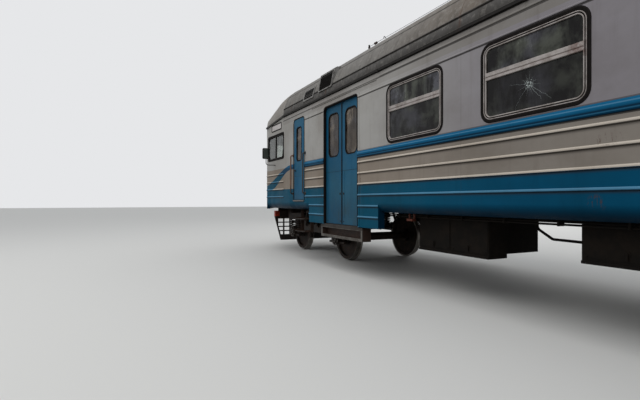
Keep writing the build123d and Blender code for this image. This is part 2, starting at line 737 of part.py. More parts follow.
with BuildPart() as side_glass:
    with BuildSketch(wall_plane(half_w - 16)):
        with Locations(*window_points()):
            RectangleRounded(pane_w, pane_h, window_r - rubber_w - frame_w)
        with Locations(*[(x, transom_z) for x, z in window_points()]):
            Rectangle(window_w, transom_h, mode=Mode.SUBTRACT)
        with Locations(*[(x, vent_rail_z) for x, z in window_points()]):
            Rectangle(window_w, 14, mode=Mode.SUBTRACT)
        with Locations((cab_window_x, cab_window_z)):
            Rectangle(cab_window_w - 2 * rubber_w - 50, cab_window_h - 2 * rubber_w - 50)
            Rectangle(40, cab_window_h, mode=Mode.SUBTRACT)
    extrude(amount=glass_t)
    mirror(about=Plane.XZ)
with BuildPart() as screen_glass:
    add(nose_form(28, nose_bottom))
    add(nose_form(28 + glass_t, nose_bottom - 1), mode=Mode.SUBTRACT)
    with BuildSketch(Plane.YZ.offset(tip_x - 800)):
        for y, w, h, r in panes:
            with Locations((y, screen_z)):
                RectangleRounded(w, h, r)
    extrude(amount=1000, mode=Mode.INTERSECT)
pane_solids = list(side_glass.part.solids()) + list(screen_glass.part.solids())
window_glass = Compound(label="window_glass", children=pane_solids)
export_step(window_glass, "parts/window_glass.step")

# Interior panels: ceiling, bulkheads of the vestibules and the cab
ceiling_z = rail + 3660
ceiling_t = 20
bulk_t = 50
ceiling_y = half_w - cove_r + sqrt((cove_r - wall_t) ** 2 - (ceiling_z + ceiling_t - gutter_z) ** 2)
ceiling_y = ceiling_y - seat_gap
# columns: bulkhead rear face
bulkheads = [front_open1 + front_fp + 40, front_open0 - front_rp - 110, rear_open1 + rear_fp + 60]
with BuildPart() as ceiling:
    block(rear_x, dome_x, -ceiling_y, ceiling_y, ceiling_z, ceiling_z + ceiling_t)
with BuildPart() as bulkhead_set:
    for x in bulkheads:
        with BuildSketch(Plane.YZ.offset(x)):
            with Locations((0, (floor_z + cant_z) / 2)):
                Rectangle(2 * (half_w - wall_t), cant_z - floor_z)
            with Locations((0, (cant_z + ceiling_z) / 2)):
                Rectangle(2 * ceiling_y, ceiling_z - cant_z)
            with Locations((0, floor_z + 1000)):
                Rectangle(800, 2000, mode=Mode.SUBTRACT)
        extrude(amount=bulk_t)
panel_solids = [ceiling.part.solids()[0]] + list(bulkhead_set.part.solids())
interior_panels = Compound(label="interior_panels", children=panel_solids)
export_step(interior_panels, "parts/interior_panels.step")

# Benches, back to back, on each side of the aisle. The one by the front bulkhead is shorter,
# because the bulkhead's doorway is wider than the aisle.
bench_y0 = 280
short_y0 = 430
bench_y1 = half_w - wall_t
bench_z = floor_z + 430
back_z = floor_z + 1120


def bench_outline(both):
    """Side view of a bench or a back-to-back pair, drawn about its back."""
    with BuildSketch() as outline:
        with Locations((0, (floor_z + back_z) / 2)):
            Rectangle(70, back_z - floor_z)
        width = 960 if both else 500
        shift = 0 if both else -215
        with Locations((shift, bench_z - 55)):
            RectangleRounded(width, 110, 40)
        with Locations((shift, (floor_z + bench_z - 60) / 2)):
            Rectangle(width - 260, bench_z - 60 - floor_z)
    return outline.sketch


with BuildPart() as seats:
    for i in range(window_count):
        x = first_window_x - window_pitch / 2 - i * window_pitch
        with BuildSketch(Plane(origin=(x, bench_y1, 0), x_dir=(1, 0, 0), z_dir=(0, -1, 0))):
            add(bench_outline(True))
        extrude(amount=bench_y1 - bench_y0)
    with BuildSketch(Plane(origin=(bulkheads[1] - 35, bench_y1, 0), x_dir=(1, 0, 0), z_dir=(0, -1, 0))):
        add(bench_outline(False))
    extrude(amount=bench_y1 - short_y0)
    mirror(about=Plane.XZ)
seats.part.label = "seats"
export_step(seats.part, "parts/seats.step")

# Cab fittings: desk and two seats
desk_y = cheek_y - 130
with BuildPart() as cab_fittings:
    with BuildSketch(Plane(origin=(nose_x, desk_y, 0), x_dir=(1, 0, 0), z_dir=(0, -1, 0))):
        with BuildLine():
            Polyline((450, floor_z), (1100, floor_z), (1100, floor_z + 780), (670, floor_z + 780),
                     (330, floor_z + 700), (330, floor_z + 640), (450, floor_z + 620), close=True)
        make_face()
    extrude(amount=2 * desk_y)
    for y in (-650, 650):
        with Locations((nose_x - 450, y, floor_z + 220)):
            Cylinder(60, 440)
        with Locations((nose_x - 450, y, floor_z + 480)):
            Box(460, 460, 90)
        with Locations((nose_x - 640, y, floor_z + 780)):
            Box(90, 440, 560)
cab_fittings.part.label = "cab_fittings"
export_step(cab_fittings.part, "parts/cab_fittings.step")

# Cowcatcher: a lattice between slanted sides, with the front beam above
lattice_y = 190
lattice_z = 120
with BuildSketch() as cells:
    with Locations((0, catch_bottom + 380)):
        with GridLocations(lattice_y, lattice_z, 13, 4):
            Rectangle(lattice_y - 40, lattice_z - 32)
    with BuildLine():
        Polyline((-catch_y + 40, catch_top - 20), (catch_y - 40, catch_top - 20),
                 (catch_y - 220, catch_bottom + 30), (220 - catch_y, catch_bottom + 30), close=True)
    make_face(mode=Mode.INTERSECT)
with BuildPart() as cowcatcher:
    with BuildSketch(Plane.YZ.offset(catch_x)):
        with BuildLine():
            Polyline((-catch_y, catch_top), (catch_y, catch_top), (catch_y - 180, catch_bottom),
                     (180 - catch_y, catch_bottom), close=True)
        make_face()
        add(cells.sketch, mode=Mode.SUBTRACT)
    extrude(amount=25)
    block(catch_x - 60, catch_x + 40, -catch_y, catch_y, catch_top - 1, catch_top + 170)
    block(catch_x - 40, catch_x + 40, 180 - catch_y, catch_y - 180, catch_bottom, catch_bottom + 30)
    for y in (-900, 900):
        block(catch_x - 300, catch_x - 40, y - 40, y + 40, catch_top + 60, sill_z)
        block(catch_x - 60, catch_x + 20, y - 40, y + 40, catch_top + 100, sill_z)
cowcatcher.part.label = "cowcatcher"
export_step(cowcatcher.part, "parts/cowcatcher.step")

# Automatic couplers, one at each end, swinging about a pin behind the headstock
for end_name, sign in (("front", 1), ("rear", -1)):
    with BuildPart() as coupler:
        x0, x1 = sorted((sign * (coupler_pin_x - 60), sign * (coupler_reach - 330)))
        block(x0, x1, -65, 65, coupler_z - 60, coupler_z + 60)
        with BuildSketch(Plane.XY.offset(coupler_z - 120)):
            with BuildLine():
                s = sign
                Polyline((s * (coupler_reach - 340), -110), (s * (coupler_reach - 200), -200),
                         (s * coupler_reach, -200), (s * coupler_reach, -110),
                         (s * (coupler_reach - 130), -40), (s * (coupler_reach - 130), 60),
                         (s * coupler_reach, 120), (s * (coupler_reach - 40), 230),
                         (s * (coupler_reach - 200), 200), (s * (coupler_reach - 340), 110), close=True)
            make_face()
        extrude(amount=240)
        with Locations((sign * coupler_pin_x, 0, coupler_z)):
            Cylinder(45.08, 300, mode=Mode.SUBTRACT)
    coupler.part.label = f"{end_name}_coupler"
    export_step(coupler.part, f"parts/{end_name}_coupler.step")

# Equipment boxes under the floor, with covers on their outer faces, and the battery lockers
box_out = half_w - 390
last = bearers[bay_count]
second_last = bearers[bay_count - 1]
conduit_x = bearers[bay_count - 2]
middle_bay = bearers[bay_count - 3]
rear_bay = bearers[2]
# columns: x start, x end, y start, y end, bottom height, covers
boxes = [
    (second_last - 1020, second_last + 280, half_w - 700, box_out, rail + 563, 2),
    (middle_bay - 1996, middle_bay + 514, half_w - 1040, box_out, rail + 670, 3),
    (second_last - 370, second_last + 930, -400, 400, rail + 500, 0),
    (last - 955, last + 20, -box_out, 840 - half_w, rail + 600, 1),
    (conduit_x - 1032, conduit_x + 418, -box_out, 940 - half_w, rail + 640, 2),
    (rear_bay - 523, rear_bay + 2077, -box_out, 1040 - half_w, rail + 600, 4),
]
with BuildPart() as equipment_boxes:
    for x0, x1, y0, y1, z0, covers in boxes:
        top = sill_z if covers else sill_z - centre_drop
        block(x0, x1, y0, y1, z0, top)
        outer = y1 if y1 > -y0 else y0
        pitch = (x1 - x0) / max(covers, 1)
        for i in range(covers):
            ya, yb = sorted((outer, outer + (8 if outer > 0 else -8)))
            block(x0 + i * pitch + 15, x0 + (i + 1) * pitch - 15, ya, yb, z0 + 60, top - 40)
        # stiffening angle along the lower edge
        if covers:
            ya, yb = sorted((outer, outer + (14 if outer > 0 else -14)))
            block(x0, x1, ya, yb, z0, z0 + 30)
equipment_boxes.part.label = "equipment_boxes"
export_step(equipment_boxes.part, "parts/equipment_boxes.step")

# Air tanks with domed ends on straps, two pipes under the floor and a bent conduit
pipe_z = rail + 1040
box_end = middle_bay + 514.5
with BuildPart() as air_tanks:
    for x in (rear_bay - 923, rear_bay + 1377):
        with BuildSketch(Plane(origin=(x, 0, rail + 840), x_dir=(1, 0, 0), z_dir=(0, -1, 0))):
            with BuildLine():
                Polyline((-850, 20), (-850, 0), (850, 0), (850, 20))
                ThreePointArc((850, 20), (828, 125), (760, 200))
                Line((760, 200), (-760, 200))
                ThreePointArc((-760, 200), (-828, 125), (-850, 20))
            make_face()
        revolve(axis=Axis((x, 0, rail + 840), (1, 0, 0)))
        for dx in (-500, 500):
            block(x + dx - 25, x + dx + 25, -240, 240, rail + 880, sill_z - centre_drop)
    for y in (540, 620):
        with Locations(Location(((bearers[1] + last) / 2, y, pipe_z), (0, 90, 0))):
            Cylinder(17, last - bearers[1] + 200)
        for x in bearers[1:bay_count + 1]:
            block(x - 12, x + 12, y - 26, y + 26, pipe_z - 10, sill_z)
    with BuildLine() as conduit_line:
        FilletPolyline((box_end, half_w - 840, rail + 825), (conduit_x - 200, half_w - 840, rail + 835),
                       (conduit_x, half_w - 840, rail + 950), (conduit_x, half_w - 840, sill_z), radius=70)
    with BuildSketch(Plane(origin=(box_end, half_w - 840, rail + 825),
                           z_dir=(conduit_x - 200 - box_end, 0, 10))):
        Circle(16)
    sweep(path=conduit_line.line)
air_tanks.part.label = "air_tanks"
export_step(air_tanks.part, "parts/air_tanks.step")

# Roof intakes: a large housing and a small flush one on each cove, both with slats
large_x0 = nose_x - 3730
large_x1 = large_x0 + 600
small_x0 = nose_x - 2900
small_x1 = small_x0 + 510
with BuildPart() as large_intake:
    with BuildSketch(Plane.YZ.offset(large_x0)):
        with BuildLine():
            Polyline((half_w - 700, rail + 3440), (half_w - 40, rail + 3440), (half_w - 62, rail + 3800),
                     (half_w - 110, rail + 3830), (half_w - 540, rail + 3900), (half_w - 700, rail + 3900),
                     close=True)
        make_face()
    extrude(amount=large_x1 - large_x0)
    block(large_x0 + 40, large_x1 - 40, half_w - 85, half_w, rail + 3475, rail + 3770, mode=Mode.SUBTRACT)
    for i in range(6):
        z = rail + 3500 + i * 47
        with BuildSketch(Plane.YZ.offset(large_x0 + 39)):
            with BuildLine():
                Polyline((half_w - 88, z + 30), (half_w - 88, z + 24), (half_w - 60, z - 4),
                         (half_w - 55, z), close=True)
            make_face()
        extrude(amount=large_x1 - large_x0 - 78)
with BuildPart() as small_intake:
    with BuildSketch(Plane.YZ.offset(small_x0)):
        add(roof_outline(-16, cant_z))
        with Locations((half_w - 100, rail + 3540)):
            Rectangle(400, 250, mode=Mode.INTERSECT)
    extrude(amount=small_x1 - small_x0)
    for i in range(5):
        z = rail + 3452 + i * 38
        block(small_x0 + 30, small_x1 - 30, half_w - 40, half_w + 40, z, z + 26, mode=Mode.SUBTRACT)
with BuildPart() as roof_vents:
    add(large_intake.part)
    add(small_intake.part)
    with BuildSketch(Plane.YZ.offset(large_x0 - 50)):
        add(roof_outline(0, cant_z))
        with Locations((seam_y, seam_z)):
            Circle(14 + seat_gap)
        with Locations((half_w, gutter_z)):
            Rectangle(2 * gutter_out + 1, gutter_h + 1)
    extrude(amount=small_x1 - large_x0 + 100, mode=Mode.SUBTRACT)
    mirror(about=Plane.XZ)
roof_vents.part.label = "roof_vents"
export_step(roof_vents.part, "parts/roof_vents.step")

# Antenna posts on the roof
post_y = 600
post_top = rail + 4556
with BuildPart() as antenna_posts:
    for x in (nose_x - 3250, rear_x + 2300):
        with Locations((x, post_y, post_top - 240)):
            Cylinder(18, 480)
        with Locations((x, post_y, post_top - 380)):
            Box(130, 130, 150)
    with BuildSketch(Plane.YZ.offset(rear_x)):
        add(roof_outline(0, cant_z))
    extrude(amount=nose_x - rear_x, mode=Mode.SUBTRACT)
antenna_posts.part.label = "antenna_posts"
export_step(antenna_posts.part, "parts/antenna_posts.step")

# Lamps on the nose: two head lamps and two tail lamps low down, one lamp in the dome
with BuildPart() as lamps:
    for y in (-front_y + 170, front_y - 170):
        for z, r in ((rail + 1560, 105), (rail + 1350, 55)):
            with BuildSketch(Plane(origin=(tip_x, y, z), x_dir=(1, 0, 0), z_dir=(0, -1, 0))):
                with BuildLine():
                    Polyline((0, 0), (30, 0), (26, r * 0.6), (14, r - 14), (26, r - 8), (26, r),
                             (0, r + 10), close=True)
                make_face()
            revolve(axis=Axis((tip_x, y, z), (1, 0, 0)))
    with Locations(Location((tip_x - 700, 0, rail + 3560), (0, 90, 0))):
        Cylinder(150, 500)
    add(nose_form(0, nose_bottom), mode=Mode.SUBTRACT)
lamps.part.label = "lamps"
export_step(lamps.part, "parts/lamps.step")

# Mirrors on loop brackets beside the cab windows
mirror_x = cab_window_x + 20
with BuildPart() as mirrors:
    with Locations((mirror_x, half_w + 250, rail + 2465)):
        Box(40, 180, 270)
    fillet(mirrors.edges().filter_by(Axis.X), radius=30)
    with BuildLine() as loop:
        FilletPolyline((mirror_x, half_w, rail + 2180), (mirror_x, half_w + 250, rail + 2180),
                       (mirror_x, half_w + 250, rail + 2331), radius=60)
    with BuildSketch(Plane(origin=(mirror_x, half_w, rail + 2180), z_dir=(0, 1, 0))):
        Circle(9)
    sweep(path=loop.line)
    mirror(about=Plane.XZ)
mirrors.part.label = "mirrors"
export_step(mirrors.part, "parts/mirrors.step")

# Handrails beside the cab doors, bent from round bar
rail_out = 62
with BuildPart() as handrails:
    for x in (cab_door_x0 - 60, cab_door_x1 + 50):
        with BuildLine() as bar_line:
            FilletPolyline((x, half_w, rail + 1440), (x, half_w + rail_out, rail + 1440),
                           (x, half_w + rail_out, rail + 2310), (x, half_w, rail + 2310), radius=35)
        with BuildSketch(Plane(origin=(x, half_w, rail + 1440), z_dir=(0, 1, 0))):
            Circle(14)
        sweep(path=bar_line.line)
    mirror(about=Plane.XZ)
handrails.part.label = "handrails"
export_step(handrails.part, "parts/handrails.step")

# Wheelsets: an axle with two wheels pressed on it
journal_end = journal_y + journal_len / 2
journal_start = journal_y - journal_len / 2
for end_name, bx in (("front", bogie_x), ("rear", -bogie_x)):
    for pos_name, wx in (("leading", bx + wheelbase / 2), ("trailing", bx - wheelbase / 2)):
        node = f"{end_name}_{pos_name}_wheelset"
        with BuildPart() as axle:
            with BuildSketch(Plane(origin=(wx, 0, axle_z), x_dir=(0, 1, 0), z_dir=(-1, 0, 0))):
                with BuildLine():
                    Polyline((-journal_end, 0), (-journal_end, journal_r), (-journal_start, journal_r),
                             (10 - journal_start, axle_r), (journal_start - 10, axle_r),
                             (journal_start, journal_r), (journal_end, journal_r), (journal_end, 0),
                             close=True)
                make_face()
            revolve(axis=Axis((wx, 0, axle_z), (0, 1, 0)))
        with BuildPart() as wheel:
            with BuildSketch(Plane(origin=(wx, 0, axle_z), x_dir=(0, 1, 0), z_dir=(-1, 0, 0))):
                with BuildLine():
                    b = back_to_back / 2
                    Polyline((b - 20, axle_r), (b - 20, 130), (b + 45, 150), (b + 20, wheel_r - 80),
                             (b, wheel_r - 65), (b, flange_r - 8), (b + 10, flange_r), (b + 22, flange_r),
                             (b + 34, wheel_r + 3), (b + wheel_w, wheel_r - 6),
                             (b + wheel_w, wheel_r - 75), (b + 75, wheel_r - 85), (b + 75, 150),
                             (b + 150, 130), (b + 150, axle_r), close=True)
                make_face()
            revolve(axis=Axis((wx, 0, axle_z), (0, 1, 0)))
            mirror(about=Plane.XZ)
        wheelset = Compound(label=node, children=[axle.part.solids()[0]] + list(wheel.part.solids()))
        export_step(wheelset, f"parts/{node}.step")

# Bogies, drawn about their own centre and placed twice.
# The side beams are swan-necked: high over the axleboxes, low under the body springs.
half_base = wheelbase / 2
bogie_solids = []
for side in (-1, 1):
    with BuildPart() as side_beam:
        with BuildSketch(wall_plane(side * journal_y + beam_w / 2)):
            with BuildLine():
                FilletPolyline((-frame_half, beam_z1), (-640, beam_z1), (-430, dip_z1), (430, dip_z1),
                               (640, beam_z1), (frame_half, beam_z1), (frame_half, beam_z0),
                               (740, beam_z0), (540, dip_z0), (-540, dip_z0), (-740, beam_z0),
                               (-frame_half, beam_z0), radius=30, close=True)
            make_face()
        extrude(amount=beam_w)
        # pads over the axle springs
        for wx in (-half_base, half_base):
            for dx in (-axle_spring_x, axle_spring_x):
                with Locations((wx + dx, side * journal_y, beam_z1 + 8)):
                    Cylinder(55, 16)
    bogie_solids.append(side_beam.part)
beam_in = journal_y - beam_w / 2
for sign in (-1, 1):
    with BuildPart() as transom:
        with BuildSketch(Plane.XZ.offset(-beam_in)):
            with Locations((sign * transom_x, (dip_z0 + dip_z1) / 2 + 30)):
                RectangleRounded(transom_w, 140, 40)
        extrude(amount=2 * beam_in)
    bogie_solids.append(transom.part)
    tread_x = sign * (half_base - wheel_r - shoe_gap - shoe_t / 2)
    arm_x = sign * (transom_x + transom_w / 2)
    hang_x = sign * (half_base - wheel_r - shoe_gap - shoe_t - 60)
    shoe_y = back_to_back / 2 + 80
    for side in (-1, 1):
        with BuildPart() as brake:
            with BuildSketch(wall_plane(side * shoe_y + 40)):
                with Locations((sign * half_base, axle_z)):
                    Circle(wheel_r + shoe_gap + shoe_t)
                    Circle(wheel_r + shoe_gap, mode=Mode.SUBTRACT)
                with Locations((tread_x, axle_z)):
                    Rectangle(110, 300, mode=Mode.INTERSECT)
            extrude(amount=80)
            x0, x1 = sorted((hang_x, tread_x - sign * 10))
            block(x0, x1, side * shoe_y - 15, side * shoe_y + 15, axle_z - 20, axle_z + 20)
            x0, x1 = sorted((hang_x - sign * 15, hang_x + sign * 15))
            block(x0, x1, side * shoe_y - 15, side * shoe_y + 15, axle_z - 40, dip_z1 - 20)
            x0, x1 = sorted((arm_x, hang_x + sign * 15))
            block(x0, x1, side * shoe_y - 15, side * shoe_y + 15, dip_z1 - 60, dip_z1 - 20)
        bogie_solids.append(brake.part)
    with BuildPart() as brake_beam:
        with Locations(Location((hang_x, 0, axle_z + 20), (90, 0, 0))):
            Cylinder(22, 2 * shoe_y - 30)
    bogie_solids.append(brake_beam.part)

with BuildPart() as bolster_form:
    with BuildSketch(Plane.YZ.offset(-bolster_half)):
        with BuildLine():
            Polyline((-1180, bolster_end_z), (-900, bolster_end_z), (-620, centre_plate_z - 240),
                     (620, centre_plate_z - 240), (900, bolster_end_z), (1180, bolster_end_z),
                     (1180, centre_plate_z), (-1180, centre_plate_z), close=True)
        make_face()
    extrude(amount=2 * bolster_half)
    for side in (-1, 1):
        with Locations((0, side * 800, centre_plate_z + 15)):
            Cylinder(80, 30)
    with Locations((0, 0, centre_plate_z - 100)):
        Cylinder(60.08, 400, mode=Mode.SUBTRACT)

with BuildPart() as axlebox_form:
    for wx in (-half_base, half_base):
        with BuildSketch(Plane(origin=(wx, 0, axle_z), x_dir=(0, 1, 0), z_dir=(-1, 0, 0))):
            with BuildLine():
                Polyline((journal_start + 15, 0), (journal_start + 15, 150), (journal_end + 22, 150),
                         (journal_end + 22, 120), (journal_end + 45, 105), (journal_end + 45, 0),
                         close=True)
            make_face()
        revolve(axis=Axis((wx, 0, axle_z), (0, 1, 0)))
        with BuildSketch(wall_plane(journal_y + 70)):
            with BuildLine():
                Polyline((wx - wing_half, wing_z - 40), (wx + wing_half, wing_z - 40),
                         (wx + wing_half, wing_z), (wx + 165, wing_z), (wx + 130, axle_z),
                         (wx - 130, axle_z), (wx - 165, wing_z), (wx - wing_half, wing_z), close=True)
            make_face()
        extrude(amount=140)
        with Locations(Location((wx, (journal_start + journal_end + end_float) / 2, axle_z), (90, 0, 0))):
            Cylinder(journal_r + journal_clear, journal_len + end_float, mode=Mode.SUBTRACT)
    mirror(about=Plane.XZ)


def spring_profile(radius, length, coils):
    """Half-section of a spring's envelope with a groove between the coils."""
    pitch = length / coils
    points = [(0, 0), (radius, 0)]
    for i in range(1, coils):
        points += [(radius, i * pitch - 16), (radius - 16, i * pitch), (radius, i * pitch + 16)]
    points += [(radius, length), (0, length)]
    return points


# columns: x, foot, length, radius, coils
spring_rows = []
for wx in (-half_base, half_base):
    for dx in (-axle_spring_x, axle_spring_x):
        spring_rows.append((wx + dx, wing_z, beam_z0 - wing_z, axle_spring_r, 6))
for x in (-bolster_half / 2 - 5, bolster_half / 2 + 5):
    spring_rows.append((x, dip_z1, bolster_end_z - dip_z1, body_spring_r, 4))
with BuildPart() as spring_form:
    for x, foot, length, radius, coils in spring_rows:
        with BuildSketch(Plane(origin=(x, journal_y, foot), x_dir=(1, 0, 0), z_dir=(0, -1, 0))):
            with BuildLine():
                Polyline(*spring_profile(radius, length, coils), close=True)
            make_face()
        revolve(axis=Axis((x, journal_y, foot), (0, 0, 1)))
    mirror(about=Plane.XZ)

for end_name, bx in (("front", bogie_x), ("rear", -bogie_x)):
    placed = []
    for solid in bogie_solids:
        with BuildPart() as moved:
            with Locations((bx, 0, 0)):
                add(solid)
        placed.append(moved.part.solids()[0])
    bogie_frame = Compound(label=f"{end_name}_bogie_frame", children=placed)
    export_step(bogie_frame, f"parts/{end_name}_bogie_frame.step")
    for node, form in (("bogie_bolster", bolster_form), ("axleboxes", axlebox_form),
                       ("bogie_springs", spring_form)):
        with BuildPart() as bogie_piece:
            with Locations((bx, 0, 0)):
                add(form.part)
        bogie_piece.part.label = f"{end_name}_{node}"
        export_step(bogie_piece.part, f"parts/{end_name}_{node}.step")
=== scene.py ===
# %% [markdown]
# # The driving-end coach of a suburban train, dressed for the studio
# The solid model of the coach comes from CAD and stays where it is. This notebook gives each
# piece the finish of the real one and adds the small work that CAD leaves out.

# %% Load the solid model and keep its size
import functools
import math
import random

import bmesh
import bpy
from mathutils import Matrix, Vector
from mathutils.bvhtree import BVHTree


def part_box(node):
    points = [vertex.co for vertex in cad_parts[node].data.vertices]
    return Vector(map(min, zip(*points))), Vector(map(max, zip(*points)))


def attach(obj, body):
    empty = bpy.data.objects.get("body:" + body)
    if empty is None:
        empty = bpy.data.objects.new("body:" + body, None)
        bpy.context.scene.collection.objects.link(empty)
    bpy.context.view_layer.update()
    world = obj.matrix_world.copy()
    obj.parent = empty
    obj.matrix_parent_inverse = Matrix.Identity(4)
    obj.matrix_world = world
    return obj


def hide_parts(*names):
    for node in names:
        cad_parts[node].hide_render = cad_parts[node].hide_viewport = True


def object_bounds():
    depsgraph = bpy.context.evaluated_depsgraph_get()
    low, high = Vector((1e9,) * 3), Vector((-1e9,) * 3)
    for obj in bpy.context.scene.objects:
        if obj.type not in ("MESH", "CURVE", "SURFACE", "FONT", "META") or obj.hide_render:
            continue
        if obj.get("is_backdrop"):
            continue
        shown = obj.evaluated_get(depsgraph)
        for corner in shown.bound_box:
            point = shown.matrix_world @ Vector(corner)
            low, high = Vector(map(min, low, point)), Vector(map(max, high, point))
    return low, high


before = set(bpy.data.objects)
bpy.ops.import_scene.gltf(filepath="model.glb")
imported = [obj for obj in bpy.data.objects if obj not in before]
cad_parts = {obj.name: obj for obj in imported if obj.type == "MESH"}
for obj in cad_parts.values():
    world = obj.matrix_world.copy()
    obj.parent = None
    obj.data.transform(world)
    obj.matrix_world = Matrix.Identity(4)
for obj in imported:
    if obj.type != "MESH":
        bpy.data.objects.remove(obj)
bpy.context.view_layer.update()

# %% [markdown]
# Heights are easiest to read from the rail head, which lies one flange depth above the
# wheels' lowest points, where Z is 0.

# %% Sizes shared by several steps, in metres
RAIL = 0.028
HALF_WIDTH = 1.740
NOSE_START = 8.150
TIP = 9.800
DOME_REAR = 6.950
DOME_FOOT = 3.728
RIB_PITCH = 0.184
WINDOW_CENTRES = [2.035 - 1.840 * i for i in range(5)]
WINDOW_Z = RAIL + 2.577
WINDOW_SIZE = (1.230, 0.885)
WINDOW_CORNER = 0.140
CAB_PANE = (7.480, RAIL + 2.625)
CAB_PANE_SIZE = (1.160, 0.650)
DOORWAY_CENTRES = (4.120, -8.360)
DOORWAY_HALF = 0.640
DOOR_BOTTOM = RAIL + 0.850
CANT = RAIL + 3.100
FLOOR = RAIL + 1.300
BOGIE_X = 6.650
HALF_BASE = 1.200
AXLE_Z = RAIL + 0.475
SPRING_Y = 1.018

# %% [markdown]
# Paint charts give colours as they look on a screen, but Blender mixes light in linear values.
# One function turns the written hex colour into the linear one. A finish is mostly arithmetic
# on the position, so a node's output is wrapped in a field that knows the usual signs.

# %% Colour and node helpers
def linear(code):
    """Linear colour from an sRGB hex code."""
    parts = [int(code[i:i + 2], 16) / 255 for i in (1, 3, 5)]
    return tuple(c / 12.92 if c <= 0.04045 else ((c + 0.055) / 1.055) ** 2.4 for c in parts) + (1.0,)


def put(tree, kind, sockets=None, **settings):
    """Add a node, set it up and fill or link its inputs; a hex code counts as a colour."""
    node = tree.nodes.new(kind)
    for name, value in settings.items():
        setattr(node, name, value)
    for socket, value in (sockets or {}).items():
        value = value.socket if isinstance(value, Field) else value
        value = linear(value) if isinstance(value, str) and value[:1] == "#" else value
        if isinstance(value, bpy.types.NodeSocket):
            tree.links.new(value, node.inputs[socket])
        else:
            node.inputs[socket].default_value = value
    return node


class Field:
    """A node's output that takes part in sums; each step adds one math node."""

    def __init__(self, socket):
        self.socket, self.tree = socket, socket.id_data

    def step(self, operation, *others):
        sockets = dict(enumerate((self,) + others))
        return Field(put(self.tree, "ShaderNodeMath", sockets, operation=operation).outputs[0])

    def __add__(self, other):
        return self.step("ADD", other)

    def __sub__(self, other):
        return self.step("SUBTRACT", other)

    def __mul__(self, other):
        return self.step("MULTIPLY", other)

    def __truediv__(self, other):
        return self.step("DIVIDE", other)

    def __gt__(self, other):
        return self.step("GREATER_THAN", other)

    def __lt__(self, other):
        return self.step("LESS_THAN", other)

    def __abs__(self):
        return self.step("ABSOLUTE")


def squared(value):
    """A field times itself."""
    return value * value


def folded(operation, fields):
    """One field from several, taken two at a time."""
    return functools.reduce(lambda total, other: total.step(operation, other), fields)


def new_finish(name, **surface):
    """A material and its bare shader, with the position on the coach and its three parts."""
    material = bpy.data.materials.new(name)
    material.use_nodes = True
    shader = material.node_tree.nodes["Principled BSDF"]
    for socket, value in surface.items():
        shader.inputs[socket.replace("_", " ")].default_value = value
    where = put(material.node_tree, "ShaderNodeTexCoord").outputs["Object"]
    parts = put(material.node_tree, "ShaderNodeSeparateXYZ", {0: where}).outputs
    return material, shader, Field(where), *(Field(part) for part in parts)


def feed(shader, socket, value):
    """Link a field to one socket of a shader."""
    value.tree.links.new(value.socket, shader.inputs[socket])


def relief(shader, strength, distance, height):
    """Bump a surface by a field of heights."""
    bump = put(height.tree, "ShaderNodeBump",
               {"Strength": strength, "Distance": distance, "Height": height})
    feed(shader, "Normal", Field(bump.outputs[0]))


def mixed(amount, first, second, blend="MIX"):
    """Mix two colours by an amount."""
    node = put(amount.tree, "ShaderNodeMix", {0: amount, 6: first, 7: second},
               data_type="RGBA", blend_type=blend)
    return Field(node.outputs[2])


def ramp(value, low, high, out_low=0.0, out_high=1.0, kind="SMOOTHSTEP"):
    """Map a value between two limits."""
    sockets = {0: value, 1: low, 2: high, 3: out_low, 4: out_high}
    return Field(put(value.tree, "ShaderNodeMapRange", sockets, interpolation_type=kind).outputs[0])


def band(value, low, high):
    """1 between two limits, 0 outside."""
    return (value > low) * (value < high)


def noise(where, stretch, scale, detail=4.0, rough=0.6):
    """Noise whose features repeat about every 1/scale metres, stretched along an axis."""
    mapped = put(where.tree, "ShaderNodeMapping", {0: where, 3: stretch})
    sockets = {"Vector": mapped.outputs[0], "Scale": scale, "Detail": detail, "Roughness": rough}
    return Field(put(where.tree, "ShaderNodeTexNoise", sockets).outputs[0])


def patchy(where, grain, high=0.65, stretch=(1, 1, 1), detail=6.0):
    """Soft patches about 1/grain metres across."""
    return ramp(noise(where, stretch, grain, detail, 0.7), 0.4, high)


# %% [markdown]
# ## Camera and studio
# The lens and height come from the photograph: the ribs of the side meet in one point, and
# the wheels and windows give the distance. The studio is a pale floor under a soft, even sky.
# The floor is drawn darker for light that bounces off it, as a yard's ballast is, so the
# underside of the coach stays as dark as a real one.

# %% Camera
camera_data = bpy.data.cameras.new("camera")
camera_data.lens = 24.0
camera_data.sensor_width = 36.0
camera_data.shift_y = 0.8 / 640
camera_data.clip_end = 300.0
camera = bpy.data.objects.new("camera", camera_data)
camera.location = (-2.71, 5.48, 1.28 + RAIL)
camera.rotation_euler = (math.radians(90), 0, math.radians(-26.08 - 90))
bpy.context.collection.objects.link(camera)
bpy.context.scene.camera = camera

# %% Floor and light
bpy.context.scene.view_settings.view_transform = "Standard"
floor_mesh = bpy.data.meshes.new("studio_floor")
floor_mesh.from_pydata([(-90, -90, 0), (90, -90, 0), (90, 90, 0), (-90, 90, 0)], [], [(0, 1, 2, 3)])
floor = bpy.data.objects.new("studio_floor", floor_mesh)
bpy.context.collection.objects.link(floor)


def seen_directly(tree):
    """1 for what the camera sees, straight, in a reflection or through glass."""
    path = put(tree, "ShaderNodeLightPath").outputs
    kinds = ("Is Camera Ray", "Is Transmission Ray", "Is Glossy Ray")
    return folded("MAXIMUM", [Field(path[kind]) for kind in kinds])


